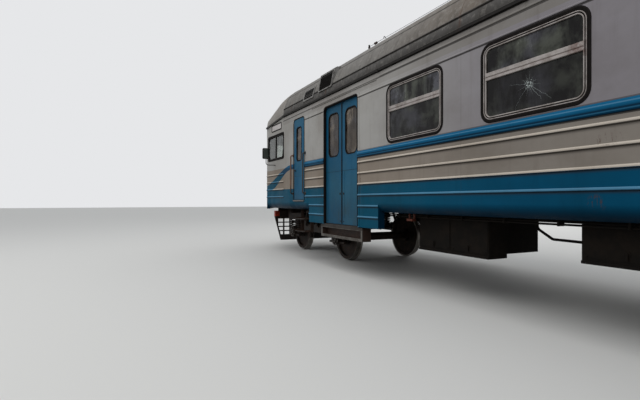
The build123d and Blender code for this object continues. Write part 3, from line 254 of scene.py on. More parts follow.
paper, shader, *_ = new_finish("studio_paper", Roughness=0.9)
feed(shader, "Base Color", mixed(seen_directly(paper.node_tree), "#6E6C69", "#D2D1CE"))
floor_mesh.materials.append(paper)
floor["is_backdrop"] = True

world = bpy.data.worlds.new("studio_sky")
bpy.context.scene.world = world
world.use_nodes = True
sky = world.node_tree
sky.nodes.clear()
soft = put(sky, "ShaderNodeBackground", {0: "#E9ECEF", 1: 0.8})
pale = put(sky, "ShaderNodeBackground", {0: "#E6E7E9", 1: 1.0})
both = put(sky, "ShaderNodeMixShader",
           {0: seen_directly(sky), 1: soft.outputs[0], 2: pale.outputs[0]})
put(sky, "ShaderNodeOutputWorld", {0: both.outputs[0]})

for name, spot, size, power, aim in (
    ("sky_panel", (0, 10, 14), 16, 1150, (0, 0, 1.5)),
    ("fill_panel", (14, -14, 9), 12, 500, (0, 0, 2)),
):
    lamp = bpy.data.lights.new(name, "AREA")
    lamp.size = size
    lamp.energy = power
    holder = bpy.data.objects.new(name, lamp)
    holder.location = spot
    holder.rotation_euler = (Vector(aim) - Vector(spot)).to_track_quat("-Z", "Y").to_euler()
    bpy.context.collection.objects.link(holder)
print("camera and studio are up")

# %% [markdown]
# ## Side paint
# The sides are steel sheet, brushed and sprayed with alkyd enamel in grey and blue, and washed
# by rain for years. The bands follow heights, so they are drawn from the position on the coach.
# At the cab the belt sweeps down to the lower blue in an S. Ribs are pale on top, where the
# brushes of the washing plant rub the paint and where a highlight of the sky is painted, and
# carry a dark line underneath of dirt and painted shade.

# %% Dirt that rain leaves on a side
def grime(where, base):
    """Faint rain streaks and soft blotches that only darken a paint colour."""
    streaks = ramp(noise(where, (5, 5, 0.5), 1.6, 5.0), 0.50, 0.80)
    blotches = ramp(noise(where, (0.7, 1, 1), 1.1, 7.0), 0.35, 0.70)
    dark = mixed(streaks * 0.24, base, "#A89C90", "MULTIPLY")
    return mixed(blotches * 0.48, dark, "#C2BBB4", "MULTIPLY")


def rust_marks(where, x, z, base, marks):
    """Freckles of rust with runs below them; marks list x, z, half width and drop."""
    freckles = ramp(noise(where, (1, 1, 0.3), 44.0, 4.0, 0.7), 0.50, 0.64)
    near = [ramp(squared((x - at) / width) + squared((z - height) / drop), 0.2, 1.0, 1.0, 0.0)
            for at, height, width, drop in marks]
    return mixed(folded("MAXIMUM", near) * freckles * 0.6, base, "#4E3527")


def orange_peel(where, stretch, scale):
    """Heights of sprayed paint: a fine grain on slow waves of the sheet."""
    return noise(where, (1, 1, 1), 160.0, 2.0) * 0.03 + noise(where, stretch, scale, 2.0)


# %% Bands of the side paint
def sprayed_coach_enamel():
    """Alkyd enamel on steel: satin, a little orange peel, chalky where rain runs."""
    material, shader, where, x, y, z = new_finish(
        "sprayed_coach_enamel", Roughness=0.5, IOR=1.45, Specular_IOR_Level=0.07)
    swept = z < ramp(x, 6.4, 8.4, RAIL + 2.116, RAIL + 1.646)
    swept = swept * (z > ramp(x, 6.45, 7.9, RAIL + 2.003, RAIL + 1.533))
    blue_mask = swept.step("MAXIMUM", z < RAIL + 1.556)
    forward = ramp(x, 0.0, 3.6)
    upper_grey = mixed(forward, "#8D898D", "#ACAAA6")
    lower_grey = mixed(forward, "#8B847C", "#94897D")
    grey = mixed(z > RAIL + 2.06, lower_grey, upper_grey)
    # where the side's lower edge turns in, the blue is painted dark navy as shade on the face that looks
    # down
    turned_in_shade = ramp(z, 1.13, 1.30, 1.0, 0.0) * (abs(y) < HALF_WIDTH - 0.0006)
    # the belt's blue is painted darker on its lower half and lighter on its upper, as shade and light on
    # the moulding
    shaded_belt_blue = mixed(ramp(z, RAIL + 2.035, RAIL + 2.075), "#073E5C", "#0A5E86")
    blue = mixed(turned_in_shade, mixed(forward, "#004A69", "#054F68"), "#062E45")
    paint = mixed(blue_mask, grey, mixed(z > RAIL + 1.90, blue, shaded_belt_blue))
    # the ribs repeat every 184 mm; this is the height over or under the nearest one
    from_rib = (z - (RAIL + 1.378)).step("WRAP", RIB_PITCH / 2, -RIB_PITCH / 2)
    below_belt = z < RAIL + 1.98
    # pale rib crests: partly worn paint, partly a painted highlight where the sky lights their upper
    # side
    rubbed = band(from_rib, -0.006, 0.020) * (abs(y) > HALF_WIDTH + 0.003) * below_belt
    paint = mixed(rubbed * 0.8, paint, mixed(blue_mask, "#D2C8BB", "#5A8FAE"))
    # under each rib a dark line of dirt and painted shade, strongest just below the rib and fading
    # downwards
    zone = below_belt * (abs(y) > HALF_WIDTH - 0.002) * (abs(x - 6.30) > 0.63)
    under_rib_shade_and_dirt = ramp(from_rib, -0.050, -0.012, 0.0, 0.75)
    paint = mixed(band(from_rib, -0.060, -0.009) * zone * under_rib_shade_and_dirt, paint, "#2B2622")
    # lines along the saloon; columns: foot, head, front end, strength, colour
    for low, high, end, strength, colour in (
        (2.080, 2.092, 5.667, 0.55, "#5B8FB0"),  # light on the belt's crest
        (1.990, 2.010, 5.667, 0.80, "#1B1E20"),  # shade under the belt
        (2.036, 2.050, 5.667, 0.60, "#0A2234"),  # painted shade, as of a groove in the belt
        (2.022, 2.034, 5.667, 0.45, "#3F86AD"),  # painted highlight on the lip below it
        (2.112, 2.128, 5.667, 0.55, "#2B2A2A"),  # dirt that lies on the belt
        (3.012, 3.030, 5.700, 0.80, "#2A2725"),  # painted shadow under the moulding over the windows, with dirt
    ):
        line = band(z, RAIL + low, RAIL + high) * (x < end)
        paint = mixed(line * strength, paint, colour)
    # the gutter falls a little along the dome and runs on level round the brow; its line there is a dark
    # band of painted shade
    over_gutter = z - ramp(x, DOME_REAR, NOSE_START, 3.343, 3.233, "LINEAR")
    on_dome = x > DOME_REAR - 0.001
    sooted = ramp(over_gutter, 0.0, 0.05, 0.0, 0.75) * on_dome
    paint = mixed(sooted, paint, "#CBC6C1", "MULTIPLY")
    paint = mixed(band(over_gutter, -0.024, 0.020) * on_dome * 0.88, paint, "#211E1C")
    paint = rust_marks(where, x, z, grime(where, paint), [
        (-0.565, 1.83, 0.13, 0.07), (-0.46, 1.29, 0.10, 0.09), (-0.30, 2.42, 0.03, 0.03),
        (6.20, 1.36, 0.35, 0.06), (3.42, 1.60, 0.05, 0.5), (4.84, 1.50, 0.05, 0.5),
        (-7.66, 1.50, 0.05, 0.5), (2.60, 2.20, 0.03, 0.12),
    ])
    for seam in (6.790, 1.115, -1.900, -4.660):
        paint = mixed(band(x, seam - 0.0025, seam + 0.0025) * 0.35, paint, "#3B3632")
    feed(shader, "Base Color", paint)
    relief(shader, 0.30, 0.012, orange_peel(where, (0.8, 1, 0.5), 2.2))
    feed(shader, "Roughness", ramp(noise(where, (1, 1, 0.4), 3.0, 4.0), 0.3, 0.7, 0.42, 0.62))
    return material


def door_enamel():
    """The door leaves' blue, greyer and more chalked than the sides, dirty at the foot."""
    material, shader, where, _, _, z = new_finish(
        "door_leaf_enamel", Roughness=0.5, IOR=1.45, Specular_IOR_Level=0.10)
    chalk = ramp(noise(where, (1, 1, 0.6), 2.0, 5.0), 0.35, 0.7)
    paint = grime(where, mixed(chalk, "#16587A", "#29607A"))
    worn = ramp(noise(where, (1, 1, 0.5), 5.0, 6.0), 0.35, 0.75, 0.25, 1.0)
    paint = mixed(ramp(z, 0.88, 1.65, 1.0, 0.0) * worn * 0.8, paint, "#36403F")
    paint = mixed(band(z, 1.853, 1.861) * 0.7, paint, "#1E2E38")
    feed(shader, "Base Color", paint)
    relief(shader, 0.25, 0.008, orange_peel(where, (1.5, 1, 0.7), 2.5))
    return material


def sooted_roof_enamel():
    """Roof paint under years of brake dust: greyer at the coves, browner on the crown."""
    material, shader, where, x, _, z = new_finish(
        "sooted_roof_enamel", Roughness=0.62, IOR=1.45, Specular_IOR_Level=0.12)
    top = mixed(ramp(x, -0.5, 3.5, 1.0, 0.0), "#75726E", "#695E53")
    base = mixed(ramp(z, 3.50, 3.56), "#585654", top)
    runs = ramp(noise(where, (2.2, 0.5, 0.5), 2.0, 7.0, 0.72), 0.42, 0.66)
    paint = mixed(runs * 0.5, base, "#45413D")
    spots = ramp(noise(where, (1, 1, 1), 11.0, 7.0, 0.75), 0.48, 0.66)
    paint = mixed(spots * 0.45, paint, "#94908A")
    from_joint = (x - 2.920).step("WRAP", 0.887, -0.887)
    paint = mixed(band(from_joint, -0.004, 0.004) * 0.7, paint, "#3A2E28")
    paint = mixed(ramp(abs(from_joint), 0.0, 0.05, 1.0, 0.0) * runs * 0.5, paint, "#6B4A3A")
    paint = mixed(band(z, CANT - 0.001, CANT + 0.060) * 0.25, paint, "#4A4542")
    over_gutter = ramp(z, 3.36, 3.50, 0.6, 0.0) * (z > 3.362)
    paint = mixed(over_gutter, paint, "#2A2724")
    grey = mixed(ramp(x, 0.0, 3.6), "#87837F", "#A29F9B")
    paint = mixed(ramp(z, 3.316, 3.322, 1.0, 0.0), paint, grime(where, grey))
    for low, high, strength, colour in (
        (3.3080, 3.3600, 0.92, "#171513"),  # painted shade in the gutter
        (3.3605, 3.3665, 0.25, "#7C7873"),  # its lip
        (3.2160, 3.2400, 0.75, "#2E2B29"),  # shade under the moulding
    ):
        paint = mixed(band(z, low, high) * strength, paint, colour)
    proud = ramp(noise(where, (3, 3, 3), 3.0, 3.0), 0.3, 0.7, 0.6, 0.95)
    paint = mixed(band(z, 3.496, 3.524) * proud, paint, "#211E1C")
    paint = mixed(band(z, 3.796, 3.824) * proud, paint, "#25211E")
    feed(shader, "Base Color", paint)
    fine = noise(where, (1, 1, 1), 70.0, 3.0)
    relief(shader, 0.35, 0.012, fine * 0.08 + noise(where, (0.8, 1.2, 1.2), 2.0, 2.0))
    return material


# %% [markdown]
# ## Plain finishes
# Everything else on the outside is one paint or one metal with dirt on it, so one recipe is
# enough: a base colour, a second colour where dust or rust gathers, and a fine bump.

# %% Recipe for worn plain surfaces
def weathered(name, base, dirt, roughness, metallic, amount, grain, shine=0.3):
    """A surface of one colour, dirtied in patches about 1/grain metres across."""
    material, shader, where, *_ = new_finish(
        name, Roughness=roughness, Metallic=metallic, Specular_IOR_Level=shine)
    patches = patchy(where, grain, 0.68, detail=7.0)
    feed(shader, "Base Color", mixed(patches * amount, base, dirt))
    relief(shader, 0.4, 0.0006, noise(where, (1, 1, 1), 90.0, 3.0))
    return material


def pane_with_dust_and_painted_reflection(name, interior_shade_tint, dust, clear, thick):
    """Float glass under a pale film in upright streaks, dust with a painted reflection in it; a low IOR
    keeps the film's look.
    """
    material, shader, where, x, _, z = new_finish(name, Roughness=0.05, IOR=1.25)
    upright_streaks = ramp(noise(where, (3, 3, 0.8), 2.2, 6.0, 0.65), 0.40, 0.75)
    clouds = ramp(noise(where, (1, 1, 1), 3.2, 4.0), 0.42, 0.66)
    hue = ramp(noise(where, (1, 1, 1), 1.7, 2.0), 0.42, 0.58)
    upper = ramp(z, WINDOW_Z + 0.03, WINDOW_Z + 0.10, 0.45, 1.0)
    film = (upright_streaks * 0.55 + clouds * 0.55) * upper * thick * ramp(x, 0.9, 1.5, 0.92, 1.45)
    in_cab = x > 6.5
    film = film * ramp(in_cab, 0.0, 1.0, 1.0, 0.3)
    veil = mixed(hue, dust, "#5A5A60")
    # outside the cab the pane lets little light through, and its dark base colour is painted shade of
    # the dim saloon behind it
    colour = mixed(in_cab, mixed(film, interior_shade_tint, veil), mixed(film, "#C9CEC9", veil))
    feed(shader, "Base Color", colour)
    feed(shader, "Roughness", ramp(film, 0.0, 1.0, 0.03, 0.30))
    feed(shader, "Transmission Weight", (in_cab * 0.92).step("MAXIMUM", clear))
    return material


def rolled_wheel_steel():
    """Wheels: rusty plate, with the tread and flange rubbed bright by rail and brake shoes."""
    material, shader, where, x, _, z = new_finish("rolled_wheel_steel", Roughness=0.5, Metallic=0.7)
    axles = [bogie + wheel for bogie in (BOGIE_X, -BOGIE_X) for wheel in (HALF_BASE, -HALF_BASE)]
    radius = folded("MINIMUM", [squared(x - axle) + squared(z - AXLE_Z) for axle in axles])
    radius = radius.step("SQRT")
    tread = ramp(radius, 0.462, 0.470)
    patches = patchy(where, 8.0, 0.7)
    bright = mixed(patches, "#7B7670", "#5B554F")
    feed(shader, "Base Color", mixed(tread, mixed(patches, "#231E1B", "#3C2C22"), bright))
    feed(shader, "Roughness", ramp(tread, 0.0, 1.0, 0.7, 0.35))
    return material


def step_paint():
    """Steps: worn grey angle frame, with painted shade on its end faces and top, round a dark red-brown
    riser set back inside it.
    """
    material, shader, where, x, y, z = new_finish(
        "worn_step_paint", Roughness=0.65, Specular_IOR_Level=0.25)
    end_face = folded("MINIMUM", [abs(x - middle) > 0.7685 for middle in DOORWAY_CENTRES])
    shaded = end_face.step("MAXIMUM", z > 0.806)
    patches = patchy(where, 9.0)
    frame_grey = mixed(shaded * 0.8, mixed(patches, "#66625D", "#45403A"), "#1E1A17")
    riser = mixed(patches, "#3A2A22", "#2A211C")
    feed(shader, "Base Color", mixed(abs(y) < HALF_WIDTH - 0.014, frame_grey, riser))
    relief(shader, 0.4, 0.001, noise(where, (1, 1, 1), 60.0, 3.0))
    return material


def pilot_paint():
    """Cowcatcher: black lattice under a beam with red enamel, chipped and dusty."""
    material, shader, where, x, y, z = new_finish(
        "chipped_red_enamel", Roughness=0.6, Specular_IOR_Level=0.3)
    beam = ramp(z, 0.870, 0.885) * (abs(y) > 1.20).step("MAXIMUM", x > 8.735)
    patches = patchy(where, 9.0)
    black = mixed(patches, "#1D1916", "#2E2621")
    feed(shader, "Base Color", mixed(beam, black, mixed(patches, "#C23A22", "#9A3322")))
    return material


def bar_paint():
    """Handrails: brown-black paint, and rust orange on the pair ahead of the cab doors."""
    material, shader, where, x, _, z = new_finish(
        "rusted_handrail_paint", Roughness=0.55, Specular_IOR_Level=0.35)
    patches = patchy(where, 6.0, stretch=(1, 1, 0.6))
    rust = mixed(ramp(z, 1.50, 1.75, 1.0, 0.0), mixed(patches, "#75533F", "#57402F"), "#2A2420")
    feed(shader, "Base Color", mixed(x > 6.2, mixed(patches, "#3A3836", "#27323A"), rust))
    return material


def intake_finish():
    """Roof intakes: sooted grey housings whose slats sit in black shade."""
    material, shader, where, x, _, z = new_finish(
        "sooted_intake_enamel", Roughness=0.7, Specular_IOR_Level=0.12)
    patches = patchy(where, 12.0)
    large = band(x, 4.462, 4.978) * band(z, 3.505, 3.796)
    slatted = large.step("MAXIMUM", band(x, 5.282, 5.728) * band(z, 3.476, 3.662))
    dark = mixed(patches, "#141312", "#1F1D1C")
    feed(shader, "Base Color", mixed(slatted, mixed(patches, "#8A8885", "#5C5956"), dark))
    return material


def frame_finish():
    """Anodised window frames, dull grey, with rust bleeding out beside the transom."""
    material, shader, where, x, _, z = new_finish(
        "anodised_window_frame", Roughness=0.45, Metallic=0.25, Specular_IOR_Level=0.3)
    patches = patchy(where, 9.0, 0.7)
    across = (x - (WINDOW_CENTRES[0] - 0.545)).step("WRAP", 0.92, -0.92)
    far = squared(across) + squared(z - (WINDOW_Z + 0.07))
    stain = ramp(far, 0.002, 0.030, 1.0, 0.0) * patches
    metal = mixed(stain * 0.7, mixed(patches, "#A8A19D", "#7E756F"), "#5E3A33")
    metal = mixed(band(z, WINDOW_Z + 0.0635, WINDOW_Z + 0.070) * 0.5, metal, "#4A2E28")
    feed(shader, "Base Color", metal)
    return material


# %% The coach's finishes
enamel = sprayed_coach_enamel()
door_paint = door_enamel()
roof_paint = sooted_roof_enamel()
wheel_steel = rolled_wheel_steel()
step_finish = step_paint()
pilot_finish = pilot_paint()
rail_finish = bar_paint()
intake_paint = intake_finish()
frame_alloy = frame_finish()
pane = pane_with_dust_and_painted_reflection("dusty_saloon_glass", "#141212", "#66695F", 0.15, 1.25)
door_pane = pane_with_dust_and_painted_reflection("dusty_door_glass", "#3A3026", "#8A7E70", 0.25, 1.3)
# columns: name, base, dirt, roughness, metallic, amount of dirt, grain, shine
(bitumen, cast_steel, spring_steel, rubber, laminate, vinyl, plain_steel, desk_paint, lens,
 blank_panel, porcelain, crack_glass, crushed_glass, mirror_face, slat_soot_and_hollow_shade, primer) = (
    weathered(*row) for row in (
        ("underframe_bitumen_paint", "#120F0C", "#241D17", 0.8, 0.0, 0.6, 5.0, 0.12),
        ("oiled_cast_steel", "#1C1815", "#37291F", 0.7, 0.3, 0.6, 8.0),
        ("oiled_spring_steel", "#221D1A", "#4A3325", 0.5, 0.5, 0.6, 10.0),
        ("aged_glazing_rubber", "#110E0D", "#241E1B", 0.75, 0.0, 0.4, 12.0, 0.10),
        ("cream_wall_laminate", "#8F8672", "#6A6254", 0.5, 0.0, 0.3, 2.0),
        ("worn_seat_vinyl", "#4A3A2C", "#2C231B", 0.55, 0.0, 0.4, 6.0),
        ("galvanised_fitting_steel", "#6F6B66", "#4A423A", 0.5, 0.5, 0.5, 14.0),
        ("hammered_desk_enamel", "#5D6B66", "#3A423F", 0.4, 0.0, 0.4, 8.0),
        ("pressed_lamp_glass", "#C9C7BE", "#8F8C82", 0.15, 0.0, 0.4, 12.0, 0.5),
        ("opal_indicator_panel", "#C2BBB8", "#9C948F", 0.35, 0.0, 0.4, 5.0),
        ("brown_glazed_porcelain", "#3A2418", "#241710", 0.2, 0.0, 0.3, 20.0, 0.5),
        ("crushed_glass_edge", "#8A918F", "#5E6665", 0.35, 0.0, 0.5, 60.0),
        ("crushed_glass_crater", "#C6CECC", "#8E9694", 0.4, 0.0, 0.5, 60.0),
        ("silvered_mirror_glass", "#5A625F", "#3E4441", 0.08, 0.9, 0.4, 9.0),
        ("sooted_grille_steel", "#171513", "#262321", 0.8, 0.0, 0.5, 12.0, 0.15),
        ("red_oxide_primer", "#5A2A1C", "#33211A", 0.7, 0.0, 0.5, 9.0),
    ))
print("finishes mixed:", len(bpy.data.materials))

# %% Give each CAD piece its finish; the first ending that fits counts
finish_of = (
    ("leaf_glass", door_pane), ("door_glass", door_pane), ("_glass", pane),
    ("_leaf", door_paint), ("_door", door_paint), ("wheelset", wheel_steel),
    ("left_wall", enamel), ("right_wall", enamel), ("cab_nose", enamel),
    ("rear_end_wall", enamel), ("roof", roof_paint), ("roof_vents", intake_paint),
    ("window_rubbers", rubber), ("window_frames", frame_alloy), ("seats", vinyl),
    ("floor", laminate), ("interior_panels", laminate), ("cab_fittings", desk_paint),
    ("underframe", bitumen), ("equipment_boxes", bitumen), ("air_tanks", bitumen),
    ("gangway", rubber), ("door_steps", step_finish), ("cowcatcher", pilot_finish),
    ("handrails", rail_finish), ("lamps", lens), ("", cast_steel),
)
for name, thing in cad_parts.items():
    thing.data.materials.clear()
    thing.data.materials.append(next(finish for end, finish in finish_of if name.endswith(end)))
print("finished", len(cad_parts), "CAD pieces")

# %% [markdown]
# ## Tools for small pieces
# Most of what is left is strip, bar and tube: rubber round a window, a bent rail, a turned
# ring. A few helpers lay such shapes into one mesh, so that each body gets a handful of
# pieces and not hundreds.

# %% Mesh helpers
def grown(size, by):
    """A width and a height, larger by the same margin all round."""
    return size[0] + 2 * by, size[1] + 2 * by


def rounded_loop(centre, size, radius, y=0.0, steps=7):
    """Points round a rectangle with rounded corners, upright, at one depth."""
    half_w, half_h = size[0] / 2 - radius, size[1] / 2 - radius
    points = []
    for sx, sz, start in ((1, 1, 0), (-1, 1, 90), (-1, -1, 180), (1, -1, 270)):
        for i in range(steps + 1):
            a = math.radians(start + 90 * i / steps)
            points.append((centre[0] + sx * half_w + radius * math.cos(a), y,
                           centre[1] + sz * half_h + radius * math.sin(a)))
    return points


def skin(bm, loops, close_ring=False):
    """Join loops of equal length with faces; an open row gets a cap at each end."""
    rows = [[bm.verts.new(p) for p in loop] for loop in loops]
    pairs = list(zip(rows, rows[1:]))
    if close_ring:
        pairs.append((rows[-1], rows[0]))
    count = len(rows[0])
    for first, second in pairs:
        for i in range(count):
            j = (i + 1) % count
            bm.faces.new((first[i], first[j], second[j], second[i]))
    if not close_ring:
        bm.faces.new(list(reversed(rows[0])))
        bm.faces.new(rows[-1])


def strip_ring(bm, centre, size, radius, section):
    """A closed moulding round a rounded rectangle; section lists (growth, depth)."""
    skin(bm, [rounded_loop(centre, grown(size, grow), max(radius + grow, 0.002), y)
              for grow, y in section], close_ring=True)


def slab(bm, outline, *depths):
    """A plate between two depths, from its outline in x and z."""
    skin(bm, [[(p[0], y, p[-1]) for p in outline] for y in depths])


def arch(left, right, foot, top, radius, steps):
    """A doorway's outline from foot to foot, with rounded upper corners."""
    path = [(left, foot)]
    for middle, start in ((left + radius, 180), (right - radius, 90)):
        for i in range(steps + 1):
            a = math.radians(start - 90 * i / steps)
            path.append((middle + radius * math.cos(a), top - radius + radius * math.sin(a)))
    return path + [(right, foot)]


def seal_along(bm, path, section):
    """A seal along an upright path; section lists (distance inwards, depth)."""
    loops = []
    for i, (x, z) in enumerate(path):
        a, b = path[max(i - 1, 0)], path[min(i + 1, len(path) - 1)]
        along = Vector((b[0] - a[0], 0, b[1] - a[1])).normalized()
        inward = Vector((along.z, 0, -along.x))
        loops.append([Vector((x, y, z)) + inward * n for n, y in section])
    skin(bm, loops)


def aside(axis):
    """A direction square to an axis."""
    start = Vector((0, 0, 1)) if abs(axis.z) < 0.9 else Vector((1, 0, 0))
    return axis.cross(start).normalized()


def circle(at, axis, first, radius, sides):
    """Points round an axis, starting in one direction."""
    second = axis.cross(first)
    return [at + radius * (math.cos(t) * first + math.sin(t) * second)
            for t in (2 * math.pi * k / sides for k in range(sides))]


def tube(bm, points, radius, sides=8):
    """A round bar through points, with flat ends."""
    path = [Vector(p) for p in points]
    normal = aside((path[1] - path[0]).normalized())
    loops = []
    for i, p in enumerate(path):
        ahead = (path[min(i + 1, len(path) - 1)] - path[max(i - 1, 0)]).normalized()
        normal = (normal - ahead * normal.dot(ahead)).normalized()
        loops.append(circle(p, ahead, normal, radius, sides))
    skin(bm, loops)


def turned(bm, centre, axis, profile, sides=20):
    """A turned shape about an axis; profile lists (distance along it, radius)."""
    axis = Vector(axis).normalized()
    skin(bm, [circle(Vector(centre) + axis * along, axis, aside(axis), radius, sides)
              for along, radius in profile])


def bar(bm, corner, opposite, edge=0.003):
    """A rectangular bar between two corners, with its edges eased."""
    made = bmesh.ops.create_cube(bm, size=1.0)["verts"]
    size = [abs(b - a) for a, b in zip(corner, opposite)]
    bmesh.ops.scale(bm, vec=size, verts=made)
    bmesh.ops.translate(bm, vec=[(a + b) / 2 for a, b in zip(corner, opposite)], verts=made)
    edges = list(dict.fromkeys(e for v in made for e in v.link_edges))
    bmesh.ops.bevel(bm, geom=edges, offset=min(edge, min(size) * 0.3), segments=1, affect="EDGES")


def tile(bm, grid, backwards=False):
    """Faces between the points of a grid."""
    for one, two in zip(grid, grid[1:]):
        for j in range(len(one) - 1):
            quad = (one[j], two[j], two[j + 1], one[j + 1])
            bm.faces.new(quad[::-1] if backwards else quad)


def close_rim(bm, first, second):
    """Join the edges of two grids of the same size."""
    rows, columns = len(first) - 1, len(first[0]) - 1
    edge = [(i, 0) for i in range(rows)] + [(rows, j) for j in range(columns)]
    edge += [(rows - i, columns) for i in range(rows)] + [(0, columns - j) for j in range(columns)]
    for k, (i, j) in enumerate(edge):
        m, n = edge[(k + 1) % len(edge)]
        bm.faces.new((first[m][n], first[i][j], second[i][j], second[m][n]))


def flipped(verts):
    """Move points to the other side of the coach."""
    for v in verts:
        v.co.y = -v.co.y


def finished(bm, name, material, body="coach_body", angle=38, twin=False):
    """Close a mesh into a piece that rides on a body, repeated on the other side for a twin."""
    if twin:
        made = bmesh.ops.duplicate(bm, geom=bm.verts[:] + bm.edges[:] + bm.faces[:])["geom"]
        flipped(v for v in made if isinstance(v, bmesh.types.BMVert))
    bmesh.ops.recalc_face_normals(bm, faces=bm.faces[:])
    mesh = bpy.data.meshes.new(name)
    bm.to_mesh(mesh)
    bm.free()
    mesh.shade_smooth()
    mesh.set_sharp_from_angle(angle=math.radians(angle))
    mesh.materials.append(material)
    thing = bpy.data.objects.new(name, mesh)
    bpy.context.collection.objects.link(thing)
    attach(thing, body)
    return thing


print("mesh tools ready")

# %% [markdown]
# ## Window rubbers, beads and transoms
# Each saloon window sits in a thick rubber with a crowned face and a groove where the filler
# cord is pressed in. Inside it an alloy frame shows two thin bright beads, and a transom of two
# rails parts the fixed pane from the hinged one. The section of each moulding is drawn once
# and run round a rounded rectangle.

# %% Rubbers and beads of the saloon windows
crowned = [(0.002, 1.7395), (0.003, 1.742), (-0.004, 1.745), (-0.014, 1.746), (-0.017, 1.7435),
           (-0.020, 1.746), (-0.030, 1.745), (-0.037, 1.741), (-0.037, 1.699), (0.000, 1.699)]
alloy_ring = [(-0.0365, 1.706), (-0.0365, 1.7395), (-0.039, 1.743), (-0.045, 1.743),
              (-0.0475, 1.7395), (-0.0475, 1.734), (-0.059, 1.734), (-0.059, 1.7395),
              (-0.061, 1.7425), (-0.068, 1.7425), (-0.0715, 1.739), (-0.0715, 1.706)]
channel = [(-0.0475, 1.7335), (-0.0475, 1.7372), (-0.059, 1.7372), (-0.059, 1.7335)]
cab_inner = [(-0.0365, 1.706), (-0.0365, 1.740), (-0.042, 1.742), (-0.056, 1.742),
             (-0.060, 1.740), (-0.060, 1.706)]
bm = bmesh.new()
for x in WINDOW_CENTRES:
    strip_ring(bm, (x, WINDOW_Z), WINDOW_SIZE, WINDOW_CORNER, crowned)
strip_ring(bm, CAB_PANE, CAB_PANE_SIZE, 0.060, crowned)
for x in WINDOW_CENTRES:
    strip_ring(bm, (x, WINDOW_Z), WINDOW_SIZE, WINDOW_CORNER, channel)
skin(bm, [rounded_loop(CAB_PANE, grown(CAB_PANE_SIZE, grow), 0.095, y) for grow, y in cab_inner],
     close_ring=True)
bar(bm, (7.468, 1.710, RAIL + 2.350), (7.492, 1.742, RAIL + 2.900))
rubbers = finished(bm, "glazing_rubbers", rubber, twin=True)
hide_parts("window_rubbers")

bm = bmesh.new()
for x in WINDOW_CENTRES:
    strip_ring(bm, (x, WINDOW_Z), WINDOW_SIZE, WINDOW_CORNER, alloy_ring)
    for low_z, high_z, y, edge in ((0.0705, 0.1160, 1.7440, 0.005), (0.0310, 0.0625, 1.7440, 0.005),
                                   (0.0620, 0.0710, 1.7385, 0.001)):
        bar(bm, (x - 0.556, 1.710, WINDOW_Z + low_z), (x + 0.556, y, WINDOW_Z + high_z), edge)
frames = finished(bm, "window_alloy_frames", frame_alloy, twin=True)
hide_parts("window_frames")
bm = bmesh.new()
for x in WINDOW_CENTRES:
    bar(bm, (x - 0.543, 1.7156, RAIL + 2.8875), (x + 0.543, 1.7244, RAIL + 2.9035), 0.0005)
finished(bm, "pane_top_strips", pane, twin=True)
print("window mouldings", len(rubbers.data.polygons), len(frames.data.polygons), "faces")

# %% [markdown]
# ## The star crack
# A stone has starred the lower pane of the second window: a crushed white spot with a few
# long cracks running from it. Each crack is a hair-thin sliver that lies on the glass.

# %% Star crack in the second window
rng = random.Random(7)
CRACK_STEPS = 7
CRATER = 0.062
impact = Vector((0.205, 1.7255, RAIL + 2.445))
# columns: direction in degrees, reach, width
spokes = [(13, 0.23, 0.6), (40, 0.09, 0.7), (70, 0.10, 0.6), (95, 0.12, 0.6), (125, 0.07, 0.7),
          (160, 0.09, 0.6), (190, 0.12, 0.7), (217, 0.30, 1.2), (231, 0.21, 1.3), (250, 0.10, 0.7),
          (285, 0.10, 0.6), (315, 0.33, 0.5), (345, 0.12, 0.6)]


def from_impact(a, r):
    """A point on the pane at an angle and a distance from the impact."""
    return impact + Vector((math.cos(a) * r, 0, math.sin(a) * r))


def flake(bm, loop, thickness):
    """A thin chip that lies on the glass."""
    skin(bm, [loop, [v + Vector((0, thickness, 0)) for v in loop]])


bm = bmesh.new()
for angle, reach, weight in spokes:
    points = []
    for i in range(CRACK_STEPS + 1):
        bend = 12 * i / CRACK_STEPS if angle == 315 else 0
        a = math.radians(angle + rng.uniform(-3, 3) - bend)
        points.append(from_impact(a, 0.012 + reach * i / CRACK_STEPS))
    for i, (p, q) in enumerate(zip(points, points[1:])):
        side = (q - p).normalized().cross(Vector((0, 1, 0)))
        wide = weight * (0.0012 * (1 - i / CRACK_STEPS) + 0.0005)
        narrow = weight * (0.0012 * (1 - (i + 1) / CRACK_STEPS) + 0.0004)
        flake(bm, [p - side * wide, p + side * wide, q + side * narrow, q - side * narrow], 0.0006)
crack = finished(bm, "star_crack", crack_glass, angle=20)
bm = bmesh.new()
for i in range(110):
    a = rng.uniform(0, 2 * math.pi)
    r = CRATER * rng.random() ** 1.2
    size = rng.uniform(0.003, 0.010) * (1.2 - r / CRATER)
    spot = from_impact(a, r)
    turn = rng.uniform(0, 2)
    corners = [turn + k * 2.1 for k in range(3)]
    flake(bm, [spot + size * Vector((math.cos(t), 0, math.sin(t))) for t in corners], 0.0007)
crater = finished(bm, "star_crack_crater", crushed_glass, angle=20)
print("star crack", len(crack.data.polygons) + len(crater.data.polygons), "faces")

# %% [markdown]
# ## Doorways and door leaves
# A black seal runs up both jambs of a doorway and round its two upper corners, which are
# filled by small sheet-metal plates. Each leaf carries its own window rubber, a lip of rubber
# where the leaves meet, and a flat turned cup to pull it by, low enough to slide into the
# pocket. They ride on the leaf, so they open with it.

